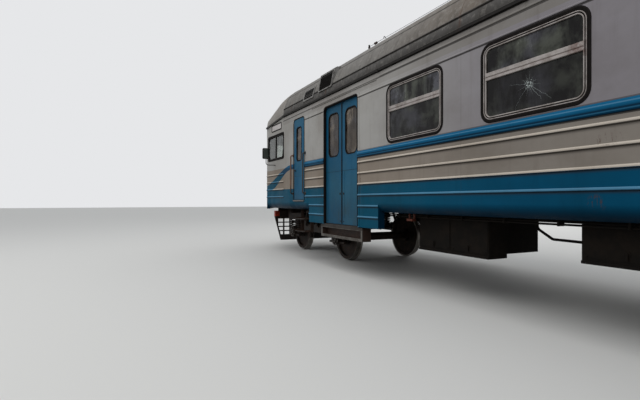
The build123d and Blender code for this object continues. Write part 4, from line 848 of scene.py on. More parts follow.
# %% Seals and corner plates of the doorways
seal = [(-0.006, 1.736), (-0.006, 1.746), (0.004, 1.750), (0.016, 1.747), (0.022, 1.736),
        (0.020, 1.704), (0.002, 1.702)]
DOORWAY_CORNER = 0.085
bm_seal, bm_plate = bmesh.new(), bmesh.new()
for middle in DOORWAY_CENTRES:
    left, right = middle - DOORWAY_HALF, middle + DOORWAY_HALF
    seal_along(bm_seal, arch(left, right, DOOR_BOTTOM, CANT, DOORWAY_CORNER, 8), seal)
    for corner, sign in ((left, 1), (right, -1)):
        outline = [(corner, CANT)]
        for i in range(9):
            a = math.radians(90 * i / 8)
            outline.append((corner + sign * (DOORWAY_CORNER - DOORWAY_CORNER * math.sin(a)),
                            CANT - DOORWAY_CORNER + DOORWAY_CORNER * math.cos(a)))
        slab(bm_plate, outline, 1.700, 1.7395)
finished(bm_seal, "doorway_seals", rubber, twin=True)
finished(bm_plate, "doorway_corner_plates", enamel, twin=True)

# %% Rubbers, lips and pull cups of the leaves
leaf_ring = [(0.012, 1.688), (0.012, 1.692), (0.006, 1.6945), (-0.006, 1.6945), (-0.012, 1.691),
             (-0.012, 1.649), (-0.006, 1.6455), (0.006, 1.6455), (0.012, 1.652), (0.012, 1.657)]
pull_cup = [(0, 0.022), (0.004, 0.022), (0.0065, 0.018), (0.0065, 0.013), (0.003, 0.010),
            (0.003, 0.004)]
screw_head = [(0, 0.014), (0.0035, 0.013), (0.0045, 0.008)]
LEAF_FACE = 1.689
for name in [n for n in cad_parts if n.endswith("_leaf")]:
    low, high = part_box(name)
    sign = 1 if low[1] > 0 else -1
    meeting, inward = (low[0], 1) if name.endswith("front_leaf") else (high[0], -1)
    bm = bmesh.new()
    strip_ring(bm, ((low[0] + high[0]) / 2, RAIL + 2.525), (0.400, 0.810), 0.110, leaf_ring)
    bar(bm, (meeting - inward * 0.0008, 1.6895, low[2] + 0.01),
        (meeting + inward * 0.016, 1.6945, high[2] - 0.02), 0.002)
    if sign < 0:
        flipped(bm.verts)
    finished(bm, name + "_rubbers", rubber, name)
    bm = bmesh.new()
    for x, z, profile in ((0.064, 1.410, pull_cup), (0.060, 0.905, screw_head),
                          (0.560, 0.905, screw_head)):
        turned(bm, (meeting + inward * x, sign * LEAF_FACE, RAIL + z), (0, sign, 0), profile)
    finished(bm, name + "_knob", cast_steel, name)

# %% Seals round the cab doors, with rounded upper corners
seal = [(-0.016, 1.7395), (-0.016, 1.746), (-0.008, 1.749), (0.000, 1.748), (0.005, 1.744),
        (0.005, 1.7425), (0.000, 1.7395)]
bm = bmesh.new()
seal_along(bm, arch(5.706, 6.274, RAIL + 1.305, CANT + 0.004, 0.070, 7), seal)
bar(bm, (6.284, 1.739, RAIL + 1.300), (6.302, 1.747, CANT - 0.060))
finished(bm, "cab_door_seals", rubber, twin=True)

# %% Cab doors: rubber, handle and sill plate
cab_ring = [(0.012, 1.738), (0.012, 1.742), (0.005, 1.7445), (-0.006, 1.7445), (-0.012, 1.741),
            (-0.012, 1.699), (-0.005, 1.696), (0.005, 1.696), (0.012, 1.701)]
handle_rose = [(0, 0.026), (0.006, 0.026), (0.008, 0.012), (0.040, 0.011), (0.046, 0.008)]
for name, sign in (("left_cab_door", 1), ("right_cab_door", -1)):
    bm = bmesh.new()
    strip_ring(bm, (5.990, RAIL + 2.540), (0.270, 0.740), 0.060, cab_ring)
    if sign < 0:
        flipped(bm.verts)
    finished(bm, name + "_rubber", rubber, name)
    bm = bmesh.new()
    turned(bm, (6.200, sign * 1.739, RAIL + 1.960), (0, sign, 0), handle_rose)
    tube(bm, [(6.200, sign * 1.776, RAIL + 1.960), (6.160, sign * 1.781, RAIL + 1.958),
              (6.090, sign * 1.781, RAIL + 1.950)], 0.008)
    finished(bm, name + "_handle", cast_steel, name)
bm = bmesh.new()
bar(bm, (5.700, 1.734, RAIL + 1.268), (6.275, 1.772, RAIL + 1.296), 0.004)
finished(bm, "cab_door_sills", plain_steel, twin=True)
print("door fittings done")

# %% [markdown]
# ## Repeated parts
# Springs, bolts and slats follow rules, so Geometry Nodes makes them: one shape is set on each
# point, made real and coated. The modifier is run once and only the plain mesh is kept.

# %% Helpers that build a node tree, run it and keep plain mesh
def new_node_tree(name, **inputs):
    """A geometry tree with named inputs; returns it with its inputs and its output node."""
    tree = bpy.data.node_groups.new(name, "GeometryNodeTree")
    for way in ("INPUT", "OUTPUT"):
        tree.interface.new_socket(name="Geometry", in_out=way, socket_type="NodeSocketGeometry")
    for label, kind in {**inputs, "Finish": "Material"}.items():
        tree.interface.new_socket(name=label.replace("_", " "), in_out="INPUT",
                                  socket_type="NodeSocket" + kind)
    return tree, put(tree, "NodeGroupInput").outputs, put(tree, "NodeGroupOutput")


def stamp(tree, given, result, shape, **placing):
    """End a tree: the shape on each point, made real and coated with the finish."""
    laid = put(tree, "GeometryNodeInstanceOnPoints",
               {"Points": given["Geometry"], "Instance": shape.outputs[0], **placing})
    real = put(tree, "GeometryNodeRealizeInstances", {0: laid.outputs[0]})
    coated = put(tree, "GeometryNodeSetMaterial",
                 {"Geometry": real.outputs[0], "Material": given["Finish"]})
    tree.links.new(coated.outputs[0], result.inputs[0])


def set_out(name, tree, points, facing, values, body="coach_body"):
    """Run a tree on points that each face a way, and keep the result as one plain mesh."""
    mesh = bpy.data.meshes.new(name)
    mesh.from_pydata([tuple(p) for p in points], [], [])
    layer = mesh.attributes.new("facing", "FLOAT_VECTOR", "POINT")
    for i, way in enumerate(facing if isinstance(facing, list) else [facing] * len(points)):
        layer.data[i].vector = way
    thing = bpy.data.objects.new(name, mesh)
    bpy.context.collection.objects.link(thing)
    modifier = thing.modifiers.new("build", "NODES")
    modifier.node_group = tree
    for item in tree.interface.items_tree:
        if item.item_type == "SOCKET" and item.in_out == "INPUT" and item.name in values:
            modifier[item.identifier] = values[item.name]
    graph = bpy.context.evaluated_depsgraph_get()
    plain = bpy.data.meshes.new_from_object(thing.evaluated_get(graph), depsgraph=graph)
    thing.modifiers.clear()
    thing.data = plain
    plain.shade_smooth()
    plain.set_sharp_from_angle(angle=math.radians(40))
    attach(thing, body)
    print(name, len(plain.polygons), "faces")
    return thing


# %% [markdown]
# ## Coil springs
# A bogie stands on steel coil springs: two over each axlebox and a pair under each end of the
# bolster. A coil is a spiral with a round bar swept along it. The CAD solids of the springs
# are plain envelopes, and the coils take their place.

# %% Springs of both bogies
coil_tree, given, result = new_node_tree(
    "coil_spring", Coil_radius="Float", Bar_radius="Float", Height="Float", Turns="Float")
spiral = put(coil_tree, "GeometryNodeCurveSpiral", {
    "Resolution": 18, "Rotations": given["Turns"], "Start Radius": given["Coil radius"],
    "End Radius": given["Coil radius"], "Height": given["Height"]})
round_bar = put(coil_tree, "GeometryNodeCurvePrimitiveCircle", {
    "Resolution": 8, "Radius": given["Bar radius"]})
swept = put(coil_tree, "GeometryNodeCurveToMesh", {
    "Curve": spiral.outputs[0], "Profile Curve": round_bar.outputs[0], "Fill Caps": True})
stamp(coil_tree, given, result, swept)

wing_top = AXLE_Z - 0.070
beam_foot = RAIL + 0.790
dip_top = RAIL + 0.712
bolster_foot = RAIL + 0.975
over_axleboxes = [wx + dx for wx in (-HALF_BASE, HALF_BASE) for dx in (-0.245, 0.245)]
# columns: name, places along the bogie, foot, head, gap at each, coil radius, bar radius,
# turns, and the seat's three radii with its height
springs = (
    ("_axle_springs", over_axleboxes, wing_top, beam_foot, 0.020, 0.057, 0.013,
     7.0, (0.074, 0.045, 0.040, 0.016)),
    ("_bolster_springs", (-0.100, 0.100), dip_top, bolster_foot, 0.022, 0.066, 0.017,
     4.0, (0.088, 0.050, 0.045, 0.018)),
)
for end, bogie_x in (("front", BOGIE_X), ("rear", -BOGIE_X)):
    seats = bmesh.new()
    for name, places, foot, head, gap, coil, wire, turns, (rim, step, neck, tall) in springs:
        points = [(bogie_x + dx, sy * SPRING_Y, foot + gap) for dx in places for sy in (-1, 1)]
        coils = set_out(end + name, coil_tree, points, (0, 0, 1), {
            "Coil radius": coil, "Bar radius": wire, "Height": head - foot - 2 * gap,
            "Turns": turns, "Finish": spring_steel}, end + "_bogie")
        if name == "_axle_springs":
            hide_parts(end + "_bogie_springs")
        for x, y, _ in points:
            for z, way in ((foot - 0.001, 1), (head + 0.001, -1)):
                turned(seats, (x, y, z), (0, 0, way),
                       [(0, rim), (0.008, rim), (0.011, step), (tall, neck)])
    finished(seats, end + "_spring_seats", cast_steel, end + "_bogie")

# %% [markdown]
# ## Bolts
# Axlebox covers, box doors and brackets are held by rows of bolts. A second tree sets a
# six-sided head, with its washer, on each point and turns it to face the way the point faces.

# %% Bolt tree and the bolts of the axlebox covers
bolt_tree, given, result = new_node_tree("bolt_heads", Across="Float", Height="Float")
head = put(bolt_tree, "GeometryNodeMeshCylinder", {
    "Vertices": 6, "Radius": given["Across"], "Depth": given["Height"]})
washer = put(bolt_tree, "GeometryNodeMeshCylinder", {
    "Vertices": 12, "Radius": Field(given["Across"]) * 1.35, "Depth": Field(given["Height"]) * 0.35})
bolt = put(bolt_tree, "GeometryNodeJoinGeometry")
bolt_tree.links.new(washer.outputs[0], bolt.inputs[0])
bolt_tree.links.new(head.outputs[0], bolt.inputs[0])
facing = put(bolt_tree, "GeometryNodeInputNamedAttribute", {"Name": "facing"},
             data_type="FLOAT_VECTOR")
turn = put(bolt_tree, "FunctionNodeAlignRotationToVector", {"Vector": facing.outputs[0]}, axis="Z")
stamp(bolt_tree, given, result, bolt, Rotation=turn.outputs[0])

for end, bogie_x in (("front", BOGIE_X), ("rear", -BOGIE_X)):
    points, ways = [], []
    for wx in (-HALF_BASE, HALF_BASE):
        for sy in (-1, 1):
            for k in range(8):
                a = math.radians(45 * k + 22.5)
                for r, y in ((0.078, 1.160), (0.135, 1.137)):
                    points.append((bogie_x + wx + r * math.cos(a), sy * y, AXLE_Z + r * math.sin(a)))
                    ways.append((0, sy, 0))
    set_out(end + "_axlebox_bolts", bolt_tree, points, ways,
            {"Across": 0.011, "Height": 0.012, "Finish": plain_steel}, end + "_bogie")

# %% [markdown]
# ## Bogie fittings
# Beside the springs stand oil dampers, tubes with a wider cover that slide into each other, and
# above the frame run brake pipes. They are turned and bent shapes, so they are built directly.

# %% Dampers, brake cylinders and pipes
brake_cylinder = [(-0.07, 0.03), (-0.06, 0.085), (0.075, 0.09), (0.08, 0.10), (0.09, 0.10),
                  (0.095, 0.085), (0.11, 0.04), (0.14, 0.018)]
for end, bogie_x in (("front", BOGIE_X), ("rear", -BOGIE_X)):
    bm = bmesh.new()
    for sy in (-1, 1):
        for side in (-1, 1):
            foot = Vector((bogie_x + side * 0.330, sy * 1.125, RAIL + 0.690))
            way = Vector((bogie_x + side * 0.1548, sy * 1.165, RAIL + 0.985)) - foot
            half = way.length * 0.55
            turned(bm, foot, way, [(0, 0.016), (0.01, 0.028), (half, 0.028), (half + 0.004, 0.033),
                                   (way.length - 0.01, 0.033), (way.length, 0.018)], 16)
        tube(bm, [(bogie_x + x, sy * y, RAIL + z) for x, y, z in (
            (-1.50, 1.000, 0.974), (-0.66, 1.000, 0.974), (-0.44, 1.000, 0.734),
            (-0.30, 0.985, 0.728))], 0.012)
        for x in (-0.36, 0.30):
            bar(bm, (bogie_x + x, sy * 1.093 - 0.02, RAIL + 0.655),
                (bogie_x + x + 0.06, sy * 1.093 + 0.045, RAIL + 0.700))
        for side in (-1, 1):
            turned(bm, (bogie_x + side * 0.480, sy * 0.56, RAIL + 0.735), (side, 0, 0), brake_cylinder)
    finished(bm, end + "_bogie_fittings", cast_steel, end + "_bogie")

# %% [markdown]
# ## Grilles and slats
# A large roof intake's cover reaches over the roof's cove, so that its grille faces outwards
# and a little up. It is a pressed frame in front of a near-black sheet, painted shade that
# stands for the hollow behind it. The boxes under the floor have slots for cooling air. Both
# carry rows of pressed slats, and a third tree lays one slat on each point of a grid.

# %% Frames and slats of the roof grilles
slat_tree, given, result = new_node_tree("cooling_slats", Slat="Vector", Tilt="Vector")
slat = put(slat_tree, "GeometryNodeMeshCube", {"Size": given["Slat"]})
tilted = put(slat_tree, "GeometryNodeTransform", {"Geometry": slat.outputs[0],
                                                  "Rotation": given["Tilt"]})
stamp(slat_tree, given, result, tilted)
GRILLE_X = 4.720
GRILLE_FOOT = (1.752, RAIL + 3.447)
GRILLE_HEAD = (1.696, RAIL + 3.737)
tall = GRILLE_HEAD[1] - GRILLE_FOOT[1]


def on_grille(x, up, depth):
    """A point of the grille's slope; up runs from 0 at the foot to 1 at the head."""
    (y0, z0), (y1, z1) = GRILLE_FOOT, GRILLE_HEAD
    return (x, y0 + (y1 - y0) * up + depth, z0 + (z1 - z0) * up)


bm = bmesh.new()
loops = []
for grow, depth in ((0, -0.030), (0, 0), (-0.004, 0.004), (-0.020, 0.004), (-0.024, 0),
                    (-0.024, -0.022)):
    flat = rounded_loop((GRILLE_X, tall / 2), grown((0.570, tall), grow), 0.020, steps=5)
    loops.append([on_grille(x, z / tall, depth) for x, _, z in flat])
skin(bm, loops, close_ring=True)
finished(bm, "intake_grille_frames", intake_paint, twin=True)
# the near-black sheet behind the slats is painted shade, standing for the hollow inside the intake
bm = bmesh.new()
flat = rounded_loop((GRILLE_X, tall / 2), (0.530, tall - 0.040), 0.004, steps=3)
skin(bm, [[on_grille(x, z / tall, depth) for x, _, z in flat] for depth in (-0.028, -0.020)])
finished(bm, "intake_hollows", slat_soot_and_hollow_shade, twin=True)
for name, side in (("left", 1), ("right", -1)):
    spots = [on_grille(GRILLE_X, 0.13 + 0.105 * i, -0.010) for i in range(8)]
    set_out(name + "_grille_slats", slat_tree, [(x, side * y, z) for x, y, z in spots],
            (0, side, 0), {"Slat": (0.520, 0.003, 0.024), "Tilt": (math.radians(-40 * side), 0, 0),
                           "Finish": slat_soot_and_hollow_shade})

# %% [markdown]
# ## Under the floor
# The equipment boxes have hinged covers with stays and latches, and conduits run along the
# sills on brackets.

# %% Slats, latches and bolts of the boxes
SLATS = 8
SLAT_PITCH = 0.034
BOX_FACE = 1.358
BOX_TOP = 1.123
for name, side, y, foot, middles in (
    ("left", 1, 1.360, 0.74, (-2.20, -1.35)),
    ("right", -1, -1.361, 0.70, (-3.45, -2.80, -2.15, -1.50, 0.05, 0.75)),
):
    points = [(x, y, RAIL + foot + SLAT_PITCH * i) for x in middles for i in range(SLATS)]
    set_out(name + "_box_slats", slat_tree, points, (0, side, 0), {
        "Slat": (0.46, 0.004, 0.026), "Tilt": (math.radians(-32 * side), 0, 0),
        "Finish": bitumen})

latch = [(0, 0.028), (0.006, 0.028), (0.008, 0.012), (0.022, 0.012), (0.024, 0.006)]
bm = bmesh.new()
points, ways = [], []
# columns: start, end, covers, side, foot
for x0, x1, covers, side, foot in (
    (1.049, 2.349, 2, 1, RAIL + 0.563), (-2.600, -0.090, 3, 1, RAIL + 0.670),
    (2.450, 3.425, 1, -1, RAIL + 0.600), (-0.300, 1.150, 2, -1, RAIL + 0.640),
    (-3.800, -1.200, 4, -1, RAIL + 0.600),
):
    face = side * BOX_FACE
    pitch = (x1 - x0) / covers
    for i in range(covers):
        a, b = x0 + i * pitch + 0.05, x0 + (i + 1) * pitch - 0.05
        for x in (a + 0.12, b - 0.12):
            bar(bm, (x - 0.035, face, BOX_TOP - 0.075),
                (x + 0.035, face + side * 0.012, BOX_TOP - 0.045))
            turned(bm, (x - 0.04, face + side * 0.008, BOX_TOP - 0.052), (1, 0, 0),
                   [(0, 0.008), (0.08, 0.008)], 10)
        middle = (a + b) / 2
        turned(bm, (middle, face - side * 0.001, foot + 0.130), (0, side, 0), latch, 14)
        bar(bm, (middle - 0.010, face, foot + 0.075), (middle + 0.010, face + side * 0.02, foot + 0.130))
        for x in (a, middle, b):
            for z in (foot + 0.072, BOX_TOP - 0.052):
                points.append((x, face + side * 0.002, z))
                ways.append((0, side, 0))
finished(bm, "box_hinges_and_latches", bitumen)
set_out("box_bolts", bolt_tree, points, ways,
        {"Across": 0.010, "Height": 0.010, "Finish": bitumen})

# %% Brackets and conduits along the sills
bm = bmesh.new()
for sy in (-1, 1):
    for k, z in enumerate((1.098, 1.072)):
        y = sy * (1.445 + 0.035 * k)
        tube(bm, [(-4.80, y, z), (-4.6, y, z), (3.3, y, z), (3.42, y, z + 0.03)], 0.011)
    for x in [-4.5 + 0.65 * i for i in range(13)]:
        bar(bm, (x - 0.012, sy * 1.462 - 0.045, 1.055), (x + 0.012, sy * 1.462 + 0.045, 1.124))
finished(bm, "sill_conduits", bitumen)
bm = bmesh.new()
bar(bm, (2.21, 1.535, RAIL + 0.985), (2.34, 1.600, RAIL + 1.020))
for x in (2.21, 2.315):
    bar(bm, (x, 1.535, RAIL + 1.020), (x + 0.025, 1.560, RAIL + 1.100))
finished(bm, "sill_brackets", primer, twin=True)

# %% End web, a plate behind the nose's lower edge that closes the view to the floor
bm = bmesh.new()
for sy in (-1, 1):
    bar(bm, (8.664, sy * 0.330, 1.020), (8.700, sy * 1.220, 1.140), 0.004)
finished(bm, "end_web", bitumen)

# %% [markdown]
# ## Aerial wire
# A thin wire is stretched along the roof between the two posts, with a pair of brown porcelain
# insulators at each end. It hangs in a very flat curve.

# %% Wire and insulators
SAG = 0.03
front_post = Vector((4.900, 0.600, RAIL + 4.520))
rear_post = Vector((-7.500, 0.600, RAIL + 4.520))
span = front_post.x - rear_post.x
bm = bmesh.new()
points = []
for i in range(41):
    t = i / 40
    p = front_post.lerp(rear_post, t)
    p.z -= SAG * 4 * t * (1 - t)
    points.append(p)
tube(bm, points, 0.0035, 6)
for post in (front_post, rear_post):
    turned(bm, post + Vector((0, 0, -0.03)), (0, 0, 1), [(0, 0.022), (0.02, 0.024), (0.03, 0.020)], 12)
hanger_x = front_post.x - 0.53
tube(bm, [(hanger_x + x, 0.6, RAIL + z) for x, z in (
    (0, 4.516), (0, 4.545), (-0.03, 4.550), (-0.09, 4.470), (-0.10, 4.180))], 0.006, 6)
finished(bm, "aerial_wire", cast_steel)
bm = bmesh.new()
bulb = [(0, 0.008), (0.008, 0.022), (0.024, 0.027), (0.040, 0.022), (0.048, 0.008)]
for post, way in ((front_post, -1), (rear_post, 1)):
    for along in (0.20, 0.25):
        turned(bm, post + Vector((way * along, 0, -SAG * 4 * along / span)), (way, 0, 0), bulb, 12)
finished(bm, "aerial_insulators", porcelain)

# %% [markdown]
# ## Cab dome
# Over the cab the roof sheets end and a pressed steel dome carries their line down to the
# windscreens. Its foot is the edge where the CAD nose stops, and its rear edge is the outline
# of the roof. Both edges are read from the CAD meshes, so the dome fits them: each section is
# the roof's outline, narrowed to the foot and lowered along a smooth fall.

# %% Edges that the dome has to meet
SAME_PLACE = 0.0008
DOME_THICKNESS = 0.060


def upper_edge(points):
    """Highest outline over flat points, from left to right."""
    chain = []
    for p in sorted(set((round(a, 5), round(b, 5)) for a, b in points)):
        while len(chain) > 1:
            (ax, ay), (bx, by) = chain[-2], chain[-1]
            if (bx - ax) * (p[1] - ay) - (by - ay) * (p[0] - ax) < 0:
                break
            chain.pop()
        chain.append(p)
    return chain


def read_off(chain, at):
    """Height of an outline at one place."""
    for (ax, ay), (bx, by) in zip(chain, chain[1:]):
        if at <= bx:
            return ay + (by - ay) * max(0.0, at - ax) / max(bx - ax, 1e-6)
    return chain[-1][1]


def left_points(node):
    """Points of a CAD mesh on the left half of the coach."""
    return [v.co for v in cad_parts[node].data.vertices if v.co.y > -0.001]


foot_edge = upper_edge([(p.x, p.y) for p in left_points("cab_nose")
                        if abs(p.z - DOME_FOOT) < SAME_PLACE])
roof_edge = upper_edge([(p.y, p.z) for p in left_points("roof")
                        if abs(p.x - DOME_REAR) < SAME_PLACE and p.z > 3.6])
foot_half = read_off(foot_edge, DOME_REAR + 0.001)
dome_tip = foot_edge[-1][0]
print("dome foot from", foot_edge[0], "to", foot_edge[-1], "roof edge", roof_edge[0], roof_edge[-1])


# %% Dome shell
def dome_skin(bm, inset, rows=40, columns=56):
    """One face of the dome, moved inwards; returns its grid of points."""
    grid = []
    crown = roof_edge[0][1] - DOME_FOOT
    for i in range(rows + 1):
        u = math.sin(math.pi / 2 * i / rows)
        x = DOME_REAR + (dome_tip - inset - DOME_REAR) * u
        half = max(read_off(foot_edge, min(x + inset, dome_tip - 0.0005)) - inset, 0.02)
        fall = max(1 - u ** 2.4, 0.0)
        line = []
        for j in range(columns + 1):
            t = math.sin(math.pi / 2 * (2 * j / columns - 1))
            rear = read_off(roof_edge, abs(t) * foot_half) - DOME_FOOT
            rise = max(rear, 0.0) * (1 - inset / crown) * fall
            line.append(bm.verts.new((x, half * t, DOME_FOOT + rise)))
        grid.append(line)
    tile(bm, grid)
    return grid


bm = bmesh.new()
close_rim(bm, dome_skin(bm, 0.0), dome_skin(bm, DOME_THICKNESS))
dome = finished(bm, "cab_dome", enamel, angle=50)
print("cab dome", len(dome.data.polygons), "faces")

# %% Strip over the joint of roof and dome
bm = bmesh.new()
loops = []
for j in range(65):
    y = math.sin(math.pi / 2 * (2 * j / 64 - 1)) * foot_half
    a = max(abs(y) - 0.02, 0.0)
    b = min(abs(y) + 0.02, foot_half)
    slope = (read_off(roof_edge, b) - read_off(roof_edge, a)) / (b - a)
    out = Vector((0, -slope * (1 if y > 0 else -1), 1)).normalized()
    at = Vector((DOME_REAR, y, read_off(roof_edge, abs(y))))
    loops.append([at + Vector((dx, 0, 0)) + out * up for dx, up in
                  ((-0.030, -0.006), (-0.028, 0.003), (0.028, 0.003), (0.030, -0.006))])
skin(bm, loops)
finished(bm, "dome_joint_strip", roof_paint)

# %% [markdown]
# ## Cab front, lamps and panel
# Over the cab's side window sits a framed blank panel. The windscreens have wipers on
# pantograph arms, and the lamps have bright rims.

# %% Panel, mirror glass and lamp rims
PANEL = (7.415, RAIL + 3.125)
bm = bmesh.new()
strip_ring(bm, PANEL, (0.690, 0.160), 0.030, [
    (0.008, 1.739), (0.008, 1.746), (0.003, 1.748), (-0.014, 1.748), (-0.018, 1.745),
    (-0.018, 1.739)])
finished(bm, "indicator_frame", rubber, twin=True)
bm = bmesh.new()
slab(bm, rounded_loop(PANEL, (0.662, 0.132), 0.020), 1.739, 1.742)
finished(bm, "indicator_panel", blank_panel, twin=True)

bm = bmesh.new()
mirror = rounded_loop((1.990, RAIL + 2.465), (0.150, 0.240), 0.025)
skin(bm, [[(x, y, z) for y, _, z in mirror] for x in (7.479, 7.482)])
finished(bm, "mirror_glass", mirror_face, twin=True)

bm = bmesh.new()
for y in (-0.470, 0.470):
    for z, r in ((RAIL + 1.560, 0.105), (RAIL + 1.350, 0.055)):
        turned(bm, (TIP + 0.001, y, z), (1, 0, 0), [
            (0, r + 0.016), (0.010, r + 0.018), (0.024, r + 0.010), (0.028, r + 0.002),
            (0.022, r - 0.004), (0.0, r - 0.002)], 28)
turned(bm, (9.335, 0, RAIL + 3.560), (1, 0, 0), [
    (-0.020, 0.151), (-0.020, 0.160), (0.012, 0.162), (0.020, 0.154), (0.020, 0.138),
    (0.008, 0.136)], 36)
finished(bm, "lamp_rims", plain_steel)

# %% [markdown]
# The windscreens lie in raked sheets, and the outer pair looks aside. Each bead is laid on the
# real slope: rays from ahead find where the CAD sheet is, a little outside the opening.

# %% Windscreen rubbers
sheet = bmesh.new()
sheet.from_mesh(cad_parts["cab_nose"].data)
nose_tree = BVHTree.FromBMesh(sheet)
sheet.free()


def front_at(y, z):
    """X of the nose's outer face at one spot."""
    hit = nose_tree.ray_cast(Vector((12, y, z)), Vector((-1, 0, 0)))
    return hit[0].x if hit[0] else TIP


bm = bmesh.new()
# columns: pane centre y, its size, corner radius
for pane_y, size, radius in ((0.330, (0.540, 0.760), 0.060), (0.890, (0.270, 0.640), 0.050)):
    middle = (pane_y, RAIL + 2.640)
    around = rounded_loop(middle, grown(size, 0.013), radius + 0.013, steps=9)
    faces_at = [front_at(y, z) for y, _, z in around]
    loops = []
    for grow, lift in ((-0.012, -0.030), (-0.014, 0.002), (-0.008, 0.009), (0.008, 0.010),
                       (0.016, 0.004), (0.018, -0.010)):
        line = rounded_loop(middle, grown(size, grow), radius + grow, steps=9)
        loops.append([(x + lift, y, z) for x, (y, _, z) in zip(faces_at, line)])
    skin(bm, loops, close_ring=True)
finished(bm, "windscreen_rubbers", rubber, twin=True)

# %% Wipers, parked upright on their pivots under the middle panes
WIPER_FOOT = 2.190
SCREEN_HEAD = 3.050
foot_x = front_at(0, RAIL + WIPER_FOOT)
rake = (foot_x - front_at(0, RAIL + SCREEN_HEAD)) / (SCREEN_HEAD - WIPER_FOOT)
bm = bmesh.new()
for sy in (-1, 1):
    pivot_x = front_at(sy * 0.340, RAIL + WIPER_FOOT) - 0.01
    turned(bm, (pivot_x, sy * 0.340, RAIL + WIPER_FOOT), (1, 0, 0.2),
           [(0, 0.026), (0.020, 0.026), (0.026, 0.016), (0.040, 0.014)], 14)
    arm, blade = (
        [Vector((foot_x - rake * (z - WIPER_FOOT) + lift, sy * y, RAIL + z)) for z, y, lift in line]
        for line in (((WIPER_FOOT, 0.340, 0.030), (2.300, 0.330, 0.042), (2.640, 0.300, 0.030)),
                     ((2.340, 0.294, 0.018), (2.940, 0.306, 0.018))))
    tube(bm, arm, 0.007, 6)
    tube(bm, [p + Vector((0, sy * 0.030, 0)) for p in arm], 0.004, 6)
    tube(bm, blade, 0.009, 6)
finished(bm, "windscreen_wipers", rubber)

# %% Feet of the handrails
bm = bmesh.new()
points = []
for x in (5.650, 6.320):
    for z in (RAIL + 1.440, RAIL + 2.310):
        turned(bm, (x, 1.7395, z), (0, 1, 0), [(0, 0.036), (0.005, 0.036), (0.007, 0.020),
                                               (0.018, 0.018)], 18)
        points += [(x, 1.746, z - 0.026), (x, 1.746, z + 0.026)]
finished(bm, "handrail_feet", rail_finish, twin=True)
set_out("handrail_screws", bolt_tree, points + [(x, -y, z) for x, y, z in points],
        [(0, 1, 0)] * len(points) + [(0, -1, 0)] * len(points),
        {"Across": 0.006, "Height": 0.006, "Finish": plain_steel})

# %% [markdown]
# ## Gangway bellows
# The rear end carries folded bellows of rubbered canvas, closed by a flat steel frame that
# meets the next coach. The folds are loops of a rounded rectangle that swell and shrink in a
# wave along the coach.

# %% Bellows and face frame
def end_loop(x, half_w, low, high, radius):
    """Rounded rectangle across the coach at one X."""
    flat = rounded_loop((0, (low + high) / 2), (2 * half_w, high - low), radius, steps=6)
    return [(x, y, z) for y, _, z in flat]


LINTEL = RAIL + 3.280
BELLOWS_START = -9.8815
BELLOWS_LENGTH = 0.1175
FOLDS = 5
STEPS_PER_FOLD = 8
bm = bmesh.new()
loops = []
for i in range(FOLDS * STEPS_PER_FOLD + 1):
    x = BELLOWS_START - BELLOWS_LENGTH * i / (FOLDS * STEPS_PER_FOLD)
    swell = 0.145 + 0.025 * math.cos(2 * math.pi * i / STEPS_PER_FOLD)
    loops.append(end_loop(x, 0.380 + swell, FLOOR - 0.055, LINTEL + swell * 0.9, 0.10))
for x in (BELLOWS_START - BELLOWS_LENGTH, BELLOWS_START):
    loops.append(end_loop(x, 0.392, FLOOR - 0.002, LINTEL + 0.010, 0.02))
skin(bm, loops, close_ring=True)
bellows = finished(bm, "gangway_bellows", rubber, angle=60)
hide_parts("gangway")
bm = bmesh.new()
loops = []
for x, grow in ((-10.000, 0), (-10.024, 0), (-10.030, -0.006)):
    loops.append(end_loop(x, 0.590 + grow, FLOOR - 0.060 - grow, LINTEL + 0.150 + grow, 0.12))
for x, grow in ((-10.030, 0.006), (-10.024, 0), (-10.000, 0)):
    loops.append(end_loop(x, 0.380 + grow, FLOOR - grow, LINTEL + grow, 0.02))
skin(bm, loops, close_ring=True)
finished(bm, "gangway_face_frame", plain_steel)
points = [(-10.026, y, FLOOR + 0.05 + 0.145 * i) for y in (-0.490, 0.490) for i in range(14)]
set_out("face_frame_bolts", bolt_tree, points, (-1, 0, 0),
        {"Across": 0.008, "Height": 0.006, "Finish": plain_steel})

# %% [markdown]
# ## Benches
# The saloon's benches are foam pads under brown vinyl on a steel frame. The CAD solid is
# only their envelope, so each pad is built as a crowned form whose sides pull in to a welted
# seam, and slim frames and legs stand under it.

# %% Crowned pads
def crowned_pad(bm, centre, size, crown, tilt, steps=14):
    """A pad: a rounded slab whose big faces bulge and whose seam runs round its edge."""
    sx, sy, sz = (s / 2 for s in size)
    turn = Matrix.Rotation(math.radians(tilt), 4, "Y")
    grids = []
    for side in (1, -1):
        grid = []
        for i in range(steps + 1):
            line = []
            for j in range(steps + 1):
                u, v = 2 * i / steps - 1, 2 * j / steps - 1
                shrink = 1 - 0.035 * (abs(u) ** 6 + abs(v) ** 6)
                lift = (1 - abs(u) ** 4) * (1 - abs(v) ** 4)
                puff = sz * (0.12 + 0.88 * lift ** 0.35) + crown * lift
                p = Vector((u * sx * shrink, v * sy * shrink, side * puff))
                line.append(bm.verts.new(Vector(centre) + turn @ p))
            grid.append(line)
        tile(bm, grid, backwards=side < 0)
        grids.append(grid)
    close_rim(bm, *grids)


BENCH_OUTER = 1.652
bm_pad, bm_frame = bmesh.new(), bmesh.new()
